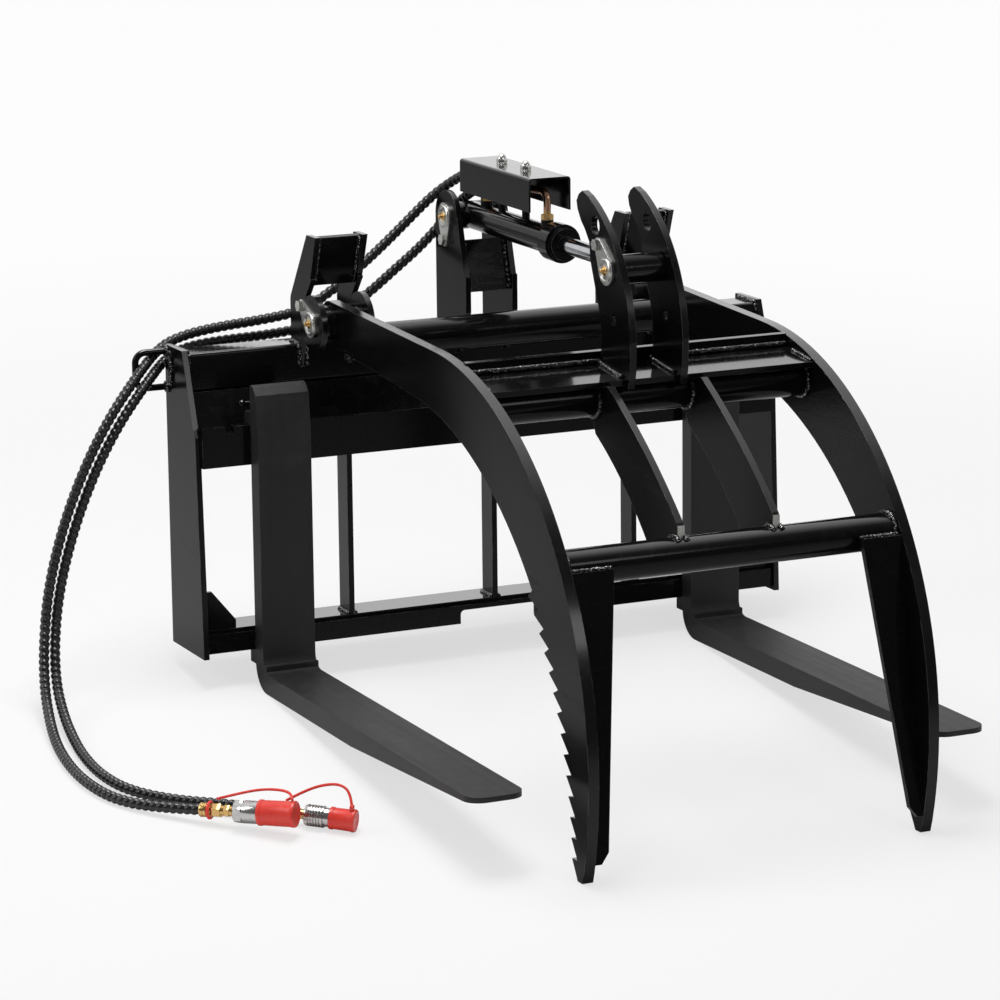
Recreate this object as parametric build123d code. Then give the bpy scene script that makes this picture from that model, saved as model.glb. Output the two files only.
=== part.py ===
from build123d import *
import os
from math import acos, asin, atan2, cos, degrees, hypot, pi, radians, sin, tan

# Pallet fork frame with a hydraulic log grapple, millimetres.
# Everything is modelled level: X to the right, Y towards the loader, Z up, with Y = 0 on the
# front face of the fork bars and Z = 0 on the underside of the fork blades.
# At the end the whole is laid as it stands on the floor: on the fork heels and the arm tips.

# Running clearances
SLIDE_GAP = 0.3          # between parts that slide on each other
PIN_GAP = 0.1            # round pins in turning bores
SEAT_GAP = 0.05          # round pins and bolts in fixed plates
SIDE_GAP = 0.5           # beside hubs and washers

# Frame
HALF_INNER = 567.7       # from the centre plane to a side plate
SIDE_T = 10.0
SIDE_BOTTOM = 64.0
SIDE_TOP = 608.0
SIDE_REAR = 150.0
TUBE_SIZE = 70.0
TUBE_WALL = 5.0
TUBE_FRONT = 66.0
TUBE_BOTTOM = 532.0
BAR_T = 30.0             # upper fork bar
BAR_BOTTOM = 406.9
BAR_TOP = 478.5
BAR_LIP_T = 16.0
BAR_LIP_H = 22.0
NOTCH_W = 14.0           # latch notches in the bar's top edge
NOTCH_DEPTH = 12.0
RAIL_T = 12.0            # lower fork rail
RAIL_BOTTOM = 71.5
RAIL_TOP = 105.8
RAIL_GAP_HALF = 76.0     # centre opening to take the forks off
RAIL_GAP_H = 25.0
RAIL_GAP_R = 8.0
SHELF_T = 12.0
SHELF_TOP = 111.6
SHELF_REAR = 83.0
FOOT_T = 10.0            # sloping quick attach foot behind the shelf
FOOT_DROP = 35.0
LOCK_SLOT_INSET = 97.7   # from a side plate to the middle of a slot
LOCK_SLOT_L = 62.0
LOCK_SLOT_W = 28.0
LIP_T = 8.0              # quick attach lip behind the top tube
LIP_REACH = 32.0
LIP_DROP = 32.0
LIP_ROOT = 586.0
RIB_T = 10.0
RIB_FRONT = 14.0
RIB_DEPTH = 45.0
GUSSET_W = 60.0
GUSSET_H = 70.0
GUSSET_NOSE = 15.0
GUSSET_T = 8.0
RECESS_T = 8.0

# Fork
FORK_X = 427.3           # where the forks stand now
FORK_IN = 55.0           # from there to the innermost and outermost places
FORK_OUT = 88.0
FORK_W = 100.0
FORK_T = 36.0
FORK_TOP = 550.0
FORK_TIP = 922.0
HEEL_R = 50.0
HEEL_INNER_R = 28.0
TAPER_START = 430.0
TIP_T = 9.0
TIP_CORNER_R = 30.0
HOOK_T = 21.5            # fork hook above the bar
HOOK_TOE_T = 11.5
HOOK_TOE_BOTTOM = 459.0
LOW_HOOK_T = 11.5
LOW_HOOK_BOTTOM = 45.0
LOW_HOOK_TOP = 95.0
LATCH_R = 5.5
LATCH_GAP = 1.0          # from the bar's top edge up to a lifted latch
LEVER_R = 4.0
LEVER_OUT = 62.0
LEVER_Z = 516.0

# Grapple pivot (P), cylinder base pin (B) and rod pin (C) as (Y, Z)
PIVOT = (8.0, 647.0)
BASE = (98.0, 805.0)
ROD_END = (-566.0, 800.0)
PIVOT_PIN_R = 17.5
CYL_PIN_R = 16.0

# Mast that carries the cylinder base
MAST_X = 41.0
MAST_T = 10.0
MAST_R = 47.0
MAST_STEP_Z = 704.0
MAST_NOSE_Y = 15.0
MAST_STEP = 5.0
MAST_NOSE_Z = 640.0
MAST_TOE_Z = 560.0
MAST_WEB_T = 9.0

# Brackets that carry the grapple arms
BRACKET_IN_X = 253.0
BRACKET_OUT_X = 343.0
BRACKET_T = 10.0
BRACKET_R = 50.0
BRACKET_TOP = 802.5
BRACKET_REAR_Y = 108.0
BRACKET_REAR_Z = 684.0
BRACKET_TOE_Z = 560.0
BRACKET_WEB_T = 8.0

# Pin keepers, pear-shaped plates with one bolt
KEEPER_T = 5.0
KEEPER_R = 25.0
KEEPER_TAIL_R = 12.0
KEEPER_BOLT_R = 6.0
BOLT_HEAD_AF = 18.0
BOLT_HEAD_T = 7.5

# Hose guide on the left side plate
GUIDE_R = 6.0
GUIDE_Y = 140.0
GUIDE_TOP = 597.0
GUIDE_BOTTOM = 533.0
GUIDE_OUT = 60.0
GUIDE_BEND_R = 18.0

# Grapple arms
ARM_X = 301.0            # inner face
ARM_T = 19.0
HUB_R = 30.15
ARM_HUB_R = 38.0
VALLEY_R = 683.0         # inner edge, at the bottom of the teeth
INNER_AT = 247.674       # direction of its centre from the pivot, degrees
THROAT = 89.8            # from the hub to the inner edge along that direction
OUTER_SHIFT = (-118.0, 165.0)    # centre of the outer edge from that of the inner edge
CRESCENT = 77.0          # how much smaller the outer edge's radius is
TOOTH_H = 19.6
TOOTH_COUNT = 14
TOOTH_PITCH = 2.88       # degrees
TOOTH_LAST = 180.1       # degrees, the lowest valley
TIP_FLAT = 17.0
TIP_NOSE = 19.2

# Cross members of the grapple
PIPE_R = 30.15
PIPE_WALL = 5.0
REAR_PIPE = (-130.0, 634.0)
FRONT_PIPE = (-586.0, 591.0)
LOWER_PIPE = (-884.0, 384.0)
CROSS_T = 10.0
CROSS_REAR = 69.9
CROSS_FRONT = 39.0
CROSS_TILT = 7.4
UPSTAND_H = 21.0
CLEVIS_X = 42.5
CLEVIS_T = 12.0
SPARE_HOLE = (-519.0, 869.5)
SPARE_HOLE_R = 16.0
LOW_HOLE = (-584.0, 721.0)
LOW_HOLE_R = 10.0
TINE_X = 81.0
TINE_T = 12.0
TIP_GUSSET_T = 10.0
TIP_GUSSET_TOP_W = 75.0
TIP_GUSSET_LOW_W = 25.0
TIP_GUSSET_TOP = (-920.0, 384.0)
TIP_GUSSET_LOW = (-1000.0, -75.0)

# Cylinder, measured along its axis from the base pin
BARREL_R = 25.0
BARREL_BORE_R = 21.0
EYE_R = 25.0
EYE_HALF = 40.5
BARREL_CAP = 34.0
GLAND_START = 338.0
GLAND_END = 392.0
GLAND_R = 34.0
GLAND_NECK_R = 28.0
ROD_R = 15.0
ROD_START = 200.0
PISTON_T = 26.0
COVER_HALF = 40.0
COVER_T = 3.0
COVER_START = 38.0
COVER_END = 328.0
COVER_BOTTOM = 50.0
COVER_TOP = 109.0
POST_AT = (131.0, 230.0)
POST_R = 7.0
COVER_BOLT_R = 8.0
BASE_PORT_AT = 66.0
ROD_PORT_AT = 317.0
PORT_R = 11.0
PORT_H = 9.0
PORT_TUBE_R = 6.5

# Hoses and their couplings
HOSE_R = 9.5
FERRULE_R = 12.0
FERRULE_L = 22.0
COUPLING_NECK_L = 60.0
BODY_L = 45.0
SOCKET_R = 19.0
PLUG_R = 18.0
SOCKET_CAP_R = 22.0
SOCKET_CAP_L = 62.0
PLUG_CAP_R = 19.0
PLUG_CAP_L = 42.0
LANYARD_R = 2.4

# Route of each hose. The upper stretches are level coordinates, from the guide to the cylinder;
# the loose stretches are measured from the floor under the standing part, after a straight
# run out of the guide.
GUIDE_RUN = 62.0
ROD_HOSE = [(-617, 138, 578), (-581, 173, 598), (-530, 188, 613), (-460, 184, 624),
            (-380, 170, 632), (-310, 155, 645), (-255, 150, 678), (-200, 155, 714),
            (-145, 165, 752), (-95, 170, 792), (-54, 160, 832), (-25, 132, 862),
            (-13, 89, 882), (-17, 39, 889), (-20, -12, 890), (-21, -60, 888)]
BASE_HOSE = [(-603, 138, 560), (-567, 177, 578), (-516, 194, 592), (-446, 190, 598),
             (-370, 180, 602), (-302, 172, 610), (-240, 168, 628), (-180, 166, 662),
             (-126, 165, 703), (-75, 166, 740), (-36, 166, 776), (-12, 149, 812),
             (0, 114, 840)]
LOOSE_OUTER = [(-716, 125, 480), (-766, 108, 401), (-809, 96, 302), (-842, 76, 199),
               (-861, 44, 110), (-878, -10, 50), (-895, -86, 20), (-914, -178, 10.5),
               (-925, -275, 10), (-923, -362, 10.5), (-903, -440, 10), (-857, -503, 14),
               (-797, -557, 22.5)]
LOOSE_INNER = [(-698, 125, 467), (-747, 108, 391), (-789, 96, 294), (-822, 76, 193),
               (-840, 48, 108), (-855, -5, 52), (-867, -80, 22), (-879, -168, 10.5),
               (-889, -255, 10), (-888, -338, 10.5), (-868, -412, 10), (-815, -478, 11),
               (-745, -544, 19.5), (-688, -590, 19.5)]


def tangent(c1, r1, c2, r2, side):
    """Unit normal of the line that touches two circles, both on the side it points to."""
    dy, dz = c1[0] - c2[0], c1[1] - c2[1]
    angle = atan2(dz, dy) + side * acos((r2 - r1) / hypot(dy, dz))
    return cos(angle), sin(angle)


def off(c, n, r):
    return c[0] + r * n[0], c[1] + r * n[1]


def polar(c, r, angle):
    return c[0] + r * cos(radians(angle)), c[1] + r * sin(radians(angle))


def disc(c, r):
    return Pos(c[0], c[1]) * Circle(r)


def slab(sketch, x0, x1):
    """Plate parallel to the side planes, from a (Y, Z) sketch, between two X positions."""
    return extrude(Plane.YZ.offset(x0) * sketch, amount=x1 - x0)


def outline(*points):
    return make_face(Polyline(*points, close=True))


def rod_x(c, r, x0, x1):
    return slab(disc(c, r), x0, x1)


def both(shape):
    return shape, mirror(shape, Plane.YZ)


def pear(c1, r1, c2, r2):
    """Plate outline round a large and a small circle."""
    a, b = tangent(c1, r1, c2, r2, 1), tangent(c1, r1, c2, r2, -1)
    web = outline(off(c1, a, r1), off(c2, a, r2), off(c2, b, r2), off(c1, b, r1))
    return web + disc(c1, r1) + disc(c2, r2)


def hexagon(across_flats, c):
    return Pos(c[0], c[1]) * RegularPolygon(across_flats / 2, 6, major_radius=False)


def group(*shapes):
    """Separate solids kept together as one piece."""
    return Compound([solid for shape in shapes for solid in shape.solids()])


def pipe_x(c, r, wall, half):
    return slab(disc(c, r) - disc(c, r - wall), -half, half)


def route_radii(points):
    """Bend radius at each inner point of a hose, as large as its two runs allow."""
    radii = []
    for before, here, after in zip(points, points[1:], points[2:]):
        arrive, leave = here - before, after - here
        half_turn = radians(arrive.get_angle(leave)) / 2
        radii.append(0.45 * min(arrive.length, leave.length) / tan(half_turn))
    return radii


def cord(name, points, r):
    """Round cord along straight runs joined by tangent arcs."""
    points = [Vector(*p) for p in points]
    radii = route_radii(points)
    path = FilletPolyline(*points, radius=radii)
    start = Plane(origin=points[0], z_dir=points[1] - points[0])
    tube = sweep(start * Circle(r), path=path)
    share = tube.volume / (pi * r * r * path.length)
    print(name, "length", round(path.length), "volume share", round(share, 4),
          "bend radii", [round(v) for v in radii])
    return tube


# Arcs of the grapple arms
INNER_C = polar(PIVOT, VALLEY_R + ARM_HUB_R + THROAT, INNER_AT)
OUTER_C = (INNER_C[0] + OUTER_SHIFT[0], INNER_C[1] + OUTER_SHIFT[1])
OUTER_R = VALLEY_R - CRESCENT
valley = polar(INNER_C, VALLEY_R, TOOTH_LAST)
nose = (valley[0] - TIP_FLAT, valley[1] + 0.2)

# Standing position
heel = (-HEEL_R, HEEL_R)
reach = hypot(heel[0] - valley[0], heel[1] - valley[1])
TILT = atan2(heel[1] - valley[1], heel[0] - valley[0]) - asin(HEEL_R / reach)
FLOOR = -valley[0] * sin(TILT) + valley[1] * cos(TILT)


def stand(p):
    """Level coordinates to coordinates above the floor, before centring."""
    x, y, z = p
    return x, y * cos(TILT) + z * sin(TILT), z * cos(TILT) - y * sin(TILT) - FLOOR


def unstand(p):
    x, y, z = p[0], p[1], p[2] + FLOOR
    return x, y * cos(TILT) - z * sin(TILT), y * sin(TILT) + z * cos(TILT)


part = {}

# Frame weldment
side = outline((-8, SIDE_BOTTOM), (10, 461), (13.5, 474), (18.7, 474), (65, SIDE_TOP),
               (SIDE_REAR - 2, SIDE_TOP), (SIDE_REAR, SIDE_TOP - 2), (SIDE_REAR, SIDE_BOTTOM))
part["side_plate_right"], part["side_plate_left"] = both(
    slab(side, HALF_INNER, HALF_INNER + SIDE_T))

TUBE_TOP = TUBE_BOTTOM + TUBE_SIZE
TUBE_REAR = TUBE_FRONT + TUBE_SIZE
tube_at = Pos(TUBE_FRONT + TUBE_SIZE / 2, TUBE_BOTTOM + TUBE_SIZE / 2)
tube = tube_at * (RectangleRounded(TUBE_SIZE, TUBE_SIZE, TUBE_WALL * 1.4)
                  - RectangleRounded(TUBE_SIZE - 2 * TUBE_WALL, TUBE_SIZE - 2 * TUBE_WALL, 2))
part["top_tube"] = slab(tube, -HALF_INNER, HALF_INNER)

bar = outline((0, BAR_BOTTOM), (BAR_T, BAR_BOTTOM), (BAR_T, BAR_TOP - BAR_LIP_H),
              (BAR_LIP_T, BAR_TOP - BAR_LIP_H), (BAR_LIP_T, BAR_TOP), (0, BAR_TOP))
bar = slab(bar, -HALF_INNER, HALF_INNER)
for place in (FORK_X - FORK_IN, FORK_X, FORK_X + FORK_OUT):
    for side_x in (-place, place):
        bar -= Pos(side_x, BAR_LIP_T / 2, BAR_TOP) * Box(NOTCH_W, BAR_LIP_T, 2 * NOTCH_DEPTH)
part["upper_fork_bar"] = bar

recess_low = BAR_TOP - BAR_LIP_H - 5
part["recess_plate"] = slab(
    outline((BAR_T, recess_low - 9), (BAR_T, recess_low), (TUBE_FRONT, TUBE_BOTTOM),
            (TUBE_FRONT + RECESS_T + 1, TUBE_BOTTOM), (BAR_T + RECESS_T, recess_low - 6)),
    -HALF_INNER, HALF_INNER)

rail = Pos(0, RAIL_T / 2, (RAIL_BOTTOM + RAIL_TOP) / 2) * Box(
    2 * HALF_INNER, RAIL_T, RAIL_TOP - RAIL_BOTTOM)
opening = Plane.XZ * (Pos(0, RAIL_BOTTOM) * RectangleRounded(
    2 * RAIL_GAP_HALF, 2 * RAIL_GAP_H, RAIL_GAP_R))
rail -= extrude(opening, amount=RAIL_T, both=True)
part["lower_rail"] = rail

part["lower_shelf"] = Pos(0, (RAIL_T + SHELF_REAR) / 2, SHELF_TOP - SHELF_T / 2) * Box(
    2 * HALF_INNER, SHELF_REAR - RAIL_T, SHELF_T)

foot = slab(outline((SHELF_REAR, SHELF_TOP - FOOT_T), (SHELF_REAR, SHELF_TOP),
                    (SIDE_REAR, SHELF_TOP - FOOT_DROP),
                    (SIDE_REAR, SHELF_TOP - FOOT_DROP - FOOT_T)), -HALF_INNER, HALF_INNER)
slot_x = HALF_INNER - LOCK_SLOT_INSET
for side_x in (-slot_x, slot_x):
    slot_y = (SHELF_REAR + SIDE_REAR) / 2
    foot -= Pos(side_x, slot_y, SHELF_TOP - FOOT_DROP) * extrude(
        SlotOverall(LOCK_SLOT_L, LOCK_SLOT_W), amount=SHELF_TOP, both=True)
part["quick_attach_foot"] = foot

part["quick_attach_lip"] = slab(
    outline((TUBE_REAR, LIP_ROOT - LIP_T * 1.4), (TUBE_REAR, LIP_ROOT),
            (TUBE_REAR + LIP_REACH, LIP_ROOT - LIP_DROP),
            (TUBE_REAR + LIP_REACH - LIP_T * 0.7, LIP_ROOT - LIP_DROP - LIP_T * 0.7)),
    -HALF_INNER, HALF_INNER)

rib_x = HALF_INNER / 2
rib = Box(RIB_T, RIB_DEPTH, BAR_BOTTOM - SHELF_TOP)
part["frame_ribs"] = group(*(
    Pos(x, RIB_FRONT + RIB_DEPTH / 2, (BAR_BOTTOM + SHELF_TOP) / 2) * rib
    for x in (-rib_x, 0, rib_x)))

corner = outline((HALF_INNER, SHELF_TOP), (HALF_INNER, SHELF_TOP + GUSSET_H),
                 (HALF_INNER - GUSSET_NOSE, SHELF_TOP + GUSSET_H),
                 (HALF_INNER - GUSSET_W, SHELF_TOP + GUSSET_NOSE),
                 (HALF_INNER - GUSSET_W, SHELF_TOP))
corner = Pos(0, RIB_FRONT, 0) * extrude(Plane.XZ * corner, amount=-GUSSET_T)
part["corner_gussets"] = group(*both(corner))

# Mast for the cylinder
mast_rear = BASE[0] + MAST_R
mast_foot = (MAST_NOSE_Y + MAST_STEP, MAST_STEP_Z)
n = tangent(BASE, MAST_R, mast_foot, 0, 1)
mast = outline(off(BASE, n, MAST_R), mast_foot, (MAST_NOSE_Y, MAST_STEP_Z),
               (MAST_NOSE_Y, MAST_NOSE_Z), (TUBE_FRONT, MAST_TOE_Z), (TUBE_FRONT, TUBE_TOP),
               (mast_rear, TUBE_TOP), (mast_rear, BASE[1]))
mast = mast + disc(BASE, MAST_R) - disc(BASE, CYL_PIN_R + SEAT_GAP)
mast_bolt = (BASE[0], BASE[1] - 42)
mast_plain = slab(mast, MAST_X, MAST_X + MAST_T)
mast_keeper = slab(mast - disc(mast_bolt, KEEPER_BOLT_R + SEAT_GAP), MAST_X, MAST_X + MAST_T)
part["mast_plate_right"] = mast_plain
part["mast_plate_left"] = mirror(mast_keeper, Plane.YZ)
part["mast_web"] = slab(
    outline((50, 767), (25, 676), (25 + MAST_WEB_T, 676 - 2.4), (50 + MAST_WEB_T, 767 - 2.4)),
    -MAST_X, MAST_X)

# Brackets for the arms
bracket_step = (PIVOT[0], 725.0)
toe = (TUBE_FRONT, BRACKET_TOE_Z)
top_n = tangent(PIVOT, BRACKET_R, bracket_step, 0, 1)
toe_n = tangent(PIVOT, BRACKET_R, toe, 0, -1)
bracket = outline(bracket_step, (bracket_step[0] + 5, 725.0), (-15, BRACKET_TOP),
                  (26, BRACKET_TOP), (106, BRACKET_REAR_Z), (BRACKET_REAR_Y, BRACKET_REAR_Z - 6),
                  (BRACKET_REAR_Y, TUBE_TOP), (TUBE_FRONT, TUBE_TOP), toe,
                  off(PIVOT, toe_n, BRACKET_R), off(PIVOT, top_n, BRACKET_R))
bracket = bracket + disc(PIVOT, BRACKET_R) - disc(PIVOT, PIVOT_PIN_R + SEAT_GAP)
arm_bolt = (PIVOT[0] + 37, PIVOT[1] + 27)
outer_bracket = slab(bracket - disc(arm_bolt, KEEPER_BOLT_R + SEAT_GAP),
                     BRACKET_OUT_X, BRACKET_OUT_X + BRACKET_T)
inner_bracket = slab(bracket, BRACKET_IN_X, BRACKET_IN_X + BRACKET_T)
part["outer_bracket_right"], part["outer_bracket_left"] = both(outer_bracket)
part["inner_bracket_right"], part["inner_bracket_left"] = both(inner_bracket)
bracket_web = slab(outline((-4, 800), (24, 712), (24 + BRACKET_WEB_T, 712 + 2.6),
                           (-4 + BRACKET_WEB_T, 800 + 2.6)),
                   BRACKET_IN_X + BRACKET_T, BRACKET_OUT_X)
part["bracket_webs"] = group(*both(bracket_web))

# Hose guide, a bent round bar on the left side plate
guide_x = -HALF_INNER - SIDE_T
guide_path = FilletPolyline(
    (guide_x, GUIDE_Y, GUIDE_TOP), (guide_x - GUIDE_OUT, GUIDE_Y, GUIDE_TOP),
    (guide_x - GUIDE_OUT, GUIDE_Y, GUIDE_BOTTOM), (guide_x, GUIDE_Y, GUIDE_BOTTOM),
    radius=GUIDE_BEND_R)
guide_start = Plane(origin=(guide_x, GUIDE_Y, GUIDE_TOP), z_dir=(-1, 0, 0))
part["hose_guide"] = sweep(guide_start * Circle(GUIDE_R), path=guide_path)

# Pins, each with its keeper plate, bolt and grease nipple
def keeper_pin(centre, r, bolt, x_in, x_out):
    """Pin through the plates on one side, its keeper against the outer face at x_out."""
    shank = rod_x(centre, r, x_in, x_out + KEEPER_T)
    plate = slab(pear(centre, KEEPER_R, bolt, KEEPER_TAIL_R)
                 - disc(bolt, KEEPER_BOLT_R + SEAT_GAP), x_out, x_out + KEEPER_T)
    nipple = rod_x(centre, 4.5, x_out + KEEPER_T, x_out + KEEPER_T + 5)
    ball = rod_x(centre, 3.0, x_out + KEEPER_T + 5, x_out + KEEPER_T + 10)
    return shank + plate + nipple + ball


def keeper_bolt(bolt, x_out, plate_t):
    face = x_out + KEEPER_T
    return (rod_x(bolt, KEEPER_BOLT_R, x_out - plate_t, face)
            + slab(hexagon(BOLT_HEAD_AF, bolt), face, face + BOLT_HEAD_T))


bracket_out = BRACKET_OUT_X + BRACKET_T
part["arm_pin_right"], part["arm_pin_left"] = both(
    keeper_pin(PIVOT, PIVOT_PIN_R, arm_bolt, BRACKET_IN_X - 4, bracket_out))
mast_out = MAST_X + MAST_T
part["base_pin"] = mirror(
    keeper_pin(BASE, CYL_PIN_R, mast_bolt, -mast_out - 4, mast_out), Plane.YZ)
part["frame_keeper_bolts"] = group(
    *both(keeper_bolt(arm_bolt, bracket_out, BRACKET_T)),
    mirror(keeper_bolt(mast_bolt, mast_out, MAST_T), Plane.YZ))
HUB_END = BRACKET_OUT_X - 9.0
washer = slab(disc(PIVOT, HUB_R) - disc(PIVOT, PIVOT_PIN_R + SEAT_GAP), HUB_END, BRACKET_OUT_X)
part["thrust_washers"] = group(*both(washer))

# Forks
blade_back = FORK_T - TIP_T
profile = outline(
    (-SLIDE_GAP, HEEL_R), (-SLIDE_GAP, FORK_TOP - 3), (-5, FORK_TOP), (-16, FORK_TOP - 2),
    (-FORK_T + 7, FORK_TOP - 16), (-FORK_T, FORK_TOP - 84), (-FORK_T, FORK_T),
    (-FORK_TIP, FORK_T), (-FORK_TIP, blade_back), (-TAPER_START, 0), (-HEEL_R, 0))
heel_fill = disc(heel, HEEL_R) & (Pos(-HEEL_R / 2 - SLIDE_GAP / 2, HEEL_R / 2)
                                  * Rectangle(HEEL_R - SLIDE_GAP, HEEL_R))
root = (-FORK_T - HEEL_INNER_R, FORK_T + HEEL_INNER_R)
root_fill = outline((-FORK_T, FORK_T), (root[0], FORK_T), (-FORK_T, root[1])) - disc(
    root, HEEL_INNER_R)
profile = profile + heel_fill + root_fill
hook_bottom = BAR_TOP + SLIDE_GAP
hook_front = BAR_LIP_T + SLIDE_GAP
hook = outline((-10, hook_bottom), (hook_front, hook_bottom), (hook_front, HOOK_TOE_BOTTOM),
               (hook_front + HOOK_TOE_T, HOOK_TOE_BOTTOM),
               (hook_front + HOOK_TOE_T, hook_bottom + HOOK_T - 6),
               (hook_front + HOOK_TOE_T - 6, hook_bottom + HOOK_T), (-10, hook_bottom + HOOK_T))
low_front = RAIL_T + SLIDE_GAP
low_hook = outline((-10, LOW_HOOK_BOTTOM), (low_front + LOW_HOOK_T, LOW_HOOK_BOTTOM),
                   (low_front + LOW_HOOK_T, LOW_HOOK_TOP), (low_front, LOW_HOOK_TOP),
                   (low_front, RAIL_BOTTOM - SLIDE_GAP), (-10, RAIL_BOTTOM - SLIDE_GAP))
fork = slab(profile + hook + low_hook, -FORK_W / 2, FORK_W / 2)
tip_edges = fork.edges().filter_by(Axis.Z).group_by(Axis.Y)[0]
fork = fillet(tip_edges, TIP_CORNER_R)
latch_y = BAR_LIP_T / 2
fork -= Pos(0, latch_y, BAR_TOP) * Cylinder(LATCH_R + PIN_GAP, 4 * HOOK_T)
part["fork_right"] = Pos(FORK_X, 0, 0) * fork
part["fork_left"] = Pos(-FORK_X, 0, 0) * fork

# Fork latches, stored lifted clear of the bar
latch_low = BAR_TOP + LATCH_GAP
latch = Pos(0, latch_y, latch_low) * extrude(Circle(LATCH_R), amount=LEVER_Z - latch_low)
latch += Pos(0, latch_y, LEVER_Z) * Sphere(LATCH_R + 2)
lever = Plane(origin=(0, latch_y, LEVER_Z), z_dir=(-1, 0, 0)) * extrude(
    Circle(LEVER_R), amount=LEVER_OUT)
latch = latch + lever + Pos(-LEVER_OUT, latch_y, LEVER_Z) * Sphere(LEVER_R + 3)
part["latch_right"] = Pos(FORK_X, 0, 0) * latch
part["latch_left"] = Pos(-FORK_X, 0, 0) * latch

# Grapple arms with their saw-toothed inner edge
top_n = tangent(PIVOT, ARM_HUB_R, OUTER_C, OUTER_R, 1)
outer_start = degrees(atan2(top_n[1], top_n[0]))
under = atan2(PIVOT[1] - INNER_C[1], PIVOT[0] - INNER_C[0]) + acos(
    (ARM_HUB_R + VALLEY_R) / hypot(PIVOT[0] - INNER_C[0], PIVOT[1] - INNER_C[1]))
inner_start = degrees(under)
teeth = [valley]
angle = TOOTH_LAST - TOOTH_PITCH + 0.01
for _ in range(TOOTH_COUNT):
    teeth += [polar(INNER_C, VALLEY_R - TOOTH_H, angle), polar(INNER_C, VALLEY_R, angle)]
    angle -= TOOTH_PITCH
last = angle + TOOTH_PITCH
OUTER_END = 180 + degrees(asin((OUTER_C[1] - nose[1] - TIP_NOSE) / OUTER_R))
front = polar(OUTER_C, OUTER_R, OUTER_END)
hub_low = polar(PIVOT, ARM_HUB_R, inner_start + 180)
hub_top = polar(PIVOT, ARM_HUB_R, outer_start)
edge = [
    Line(hub_top, polar(OUTER_C, OUTER_R, outer_start)),
    ThreePointArc(polar(OUTER_C, OUTER_R, outer_start),
                  polar(OUTER_C, OUTER_R, (outer_start + OUTER_END) / 2), front),
    Polyline(front, nose, *teeth),
    ThreePointArc(teeth[-1], polar(INNER_C, VALLEY_R, (last + inner_start) / 2),
                  polar(INNER_C, VALLEY_R, inner_start)),
    Line(polar(INNER_C, VALLEY_R, inner_start), hub_low),
    ThreePointArc(hub_low, (PIVOT[0] + ARM_HUB_R, PIVOT[1]), hub_top)]
arm = slab(make_face(Curve() + edge), ARM_X, ARM_X + ARM_T)
hub_in = BRACKET_IN_X + BRACKET_T + SIDE_GAP
arm += rod_x(PIVOT, HUB_R, hub_in, HUB_END - SIDE_GAP)
arm -= rod_x(PIVOT, PIVOT_PIN_R + PIN_GAP, hub_in, HUB_END)
part["grapple_arm_right"], part["grapple_arm_left"] = both(arm)

part["rear_pipe"] = pipe_x(REAR_PIPE, PIPE_R, PIPE_WALL, ARM_X)
part["front_pipe"] = pipe_x(FRONT_PIPE, PIPE_R, PIPE_WALL, ARM_X)
part["lower_pipe"] = pipe_x(LOWER_PIPE, PIPE_R, PIPE_WALL, ARM_X)

# Cross plate resting on the front pipe, with an upstand along its rear edge
cross = outline((-CROSS_FRONT, PIPE_R), (CROSS_REAR, PIPE_R),
                (CROSS_REAR, PIPE_R + CROSS_T + UPSTAND_H),
                (CROSS_REAR - CROSS_T, PIPE_R + CROSS_T + UPSTAND_H),
                (CROSS_REAR - CROSS_T, PIPE_R + CROSS_T), (-CROSS_FRONT, PIPE_R + CROSS_T))
cross = Pos(FRONT_PIPE[0], FRONT_PIPE[1]) * Rot(0, 0, CROSS_TILT) * cross
part["cross_plate"] = slab(cross, -ARM_X, ARM_X)

# Clevis for the rod end
clevis_edge = [
    Polyline((-470, 922), (-457, 915), (-448, 903), (-452, 889), (-465, 871), (-480, 858),
             (-496, 839), (-499, 810), (-538, 713), (-540, 625), (-640, 612), (-646, 640),
             (-648, 690)),
    ThreePointArc((-648, 690), (-601, 825), (-490, 916)), Line((-490, 916), (-470, 922))]
clevis = make_face(Curve() + clevis_edge) - cross - disc(FRONT_PIPE, PIPE_R)
clevis = clevis - disc(ROD_END, CYL_PIN_R + SEAT_GAP) - disc(SPARE_HOLE, SPARE_HOLE_R)
clevis = (clevis - disc(LOW_HOLE, LOW_HOLE_R)).faces().sort_by(SortBy.AREA)[-1]
rod_bolt = (ROD_END[0] + 29, ROD_END[1] + 40)
clevis_out = CLEVIS_X + CLEVIS_T
part["clevis_plate_right"] = slab(clevis, CLEVIS_X, clevis_out)
part["clevis_plate_left"] = mirror(
    slab(clevis - disc(rod_bolt, KEEPER_BOLT_R + SEAT_GAP), CLEVIS_X, clevis_out), Plane.YZ)
part["clevis_pin_ends"] = group(
    mirror(keeper_pin(ROD_END, CYL_PIN_R, rod_bolt, CLEVIS_X, clevis_out), Plane.YZ),
    rod_x(ROD_END, CYL_PIN_R, CLEVIS_X, clevis_out + 4))
part["clevis_keeper_bolt"] = mirror(keeper_bolt(rod_bolt, clevis_out, CLEVIS_T), Plane.YZ)

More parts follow.
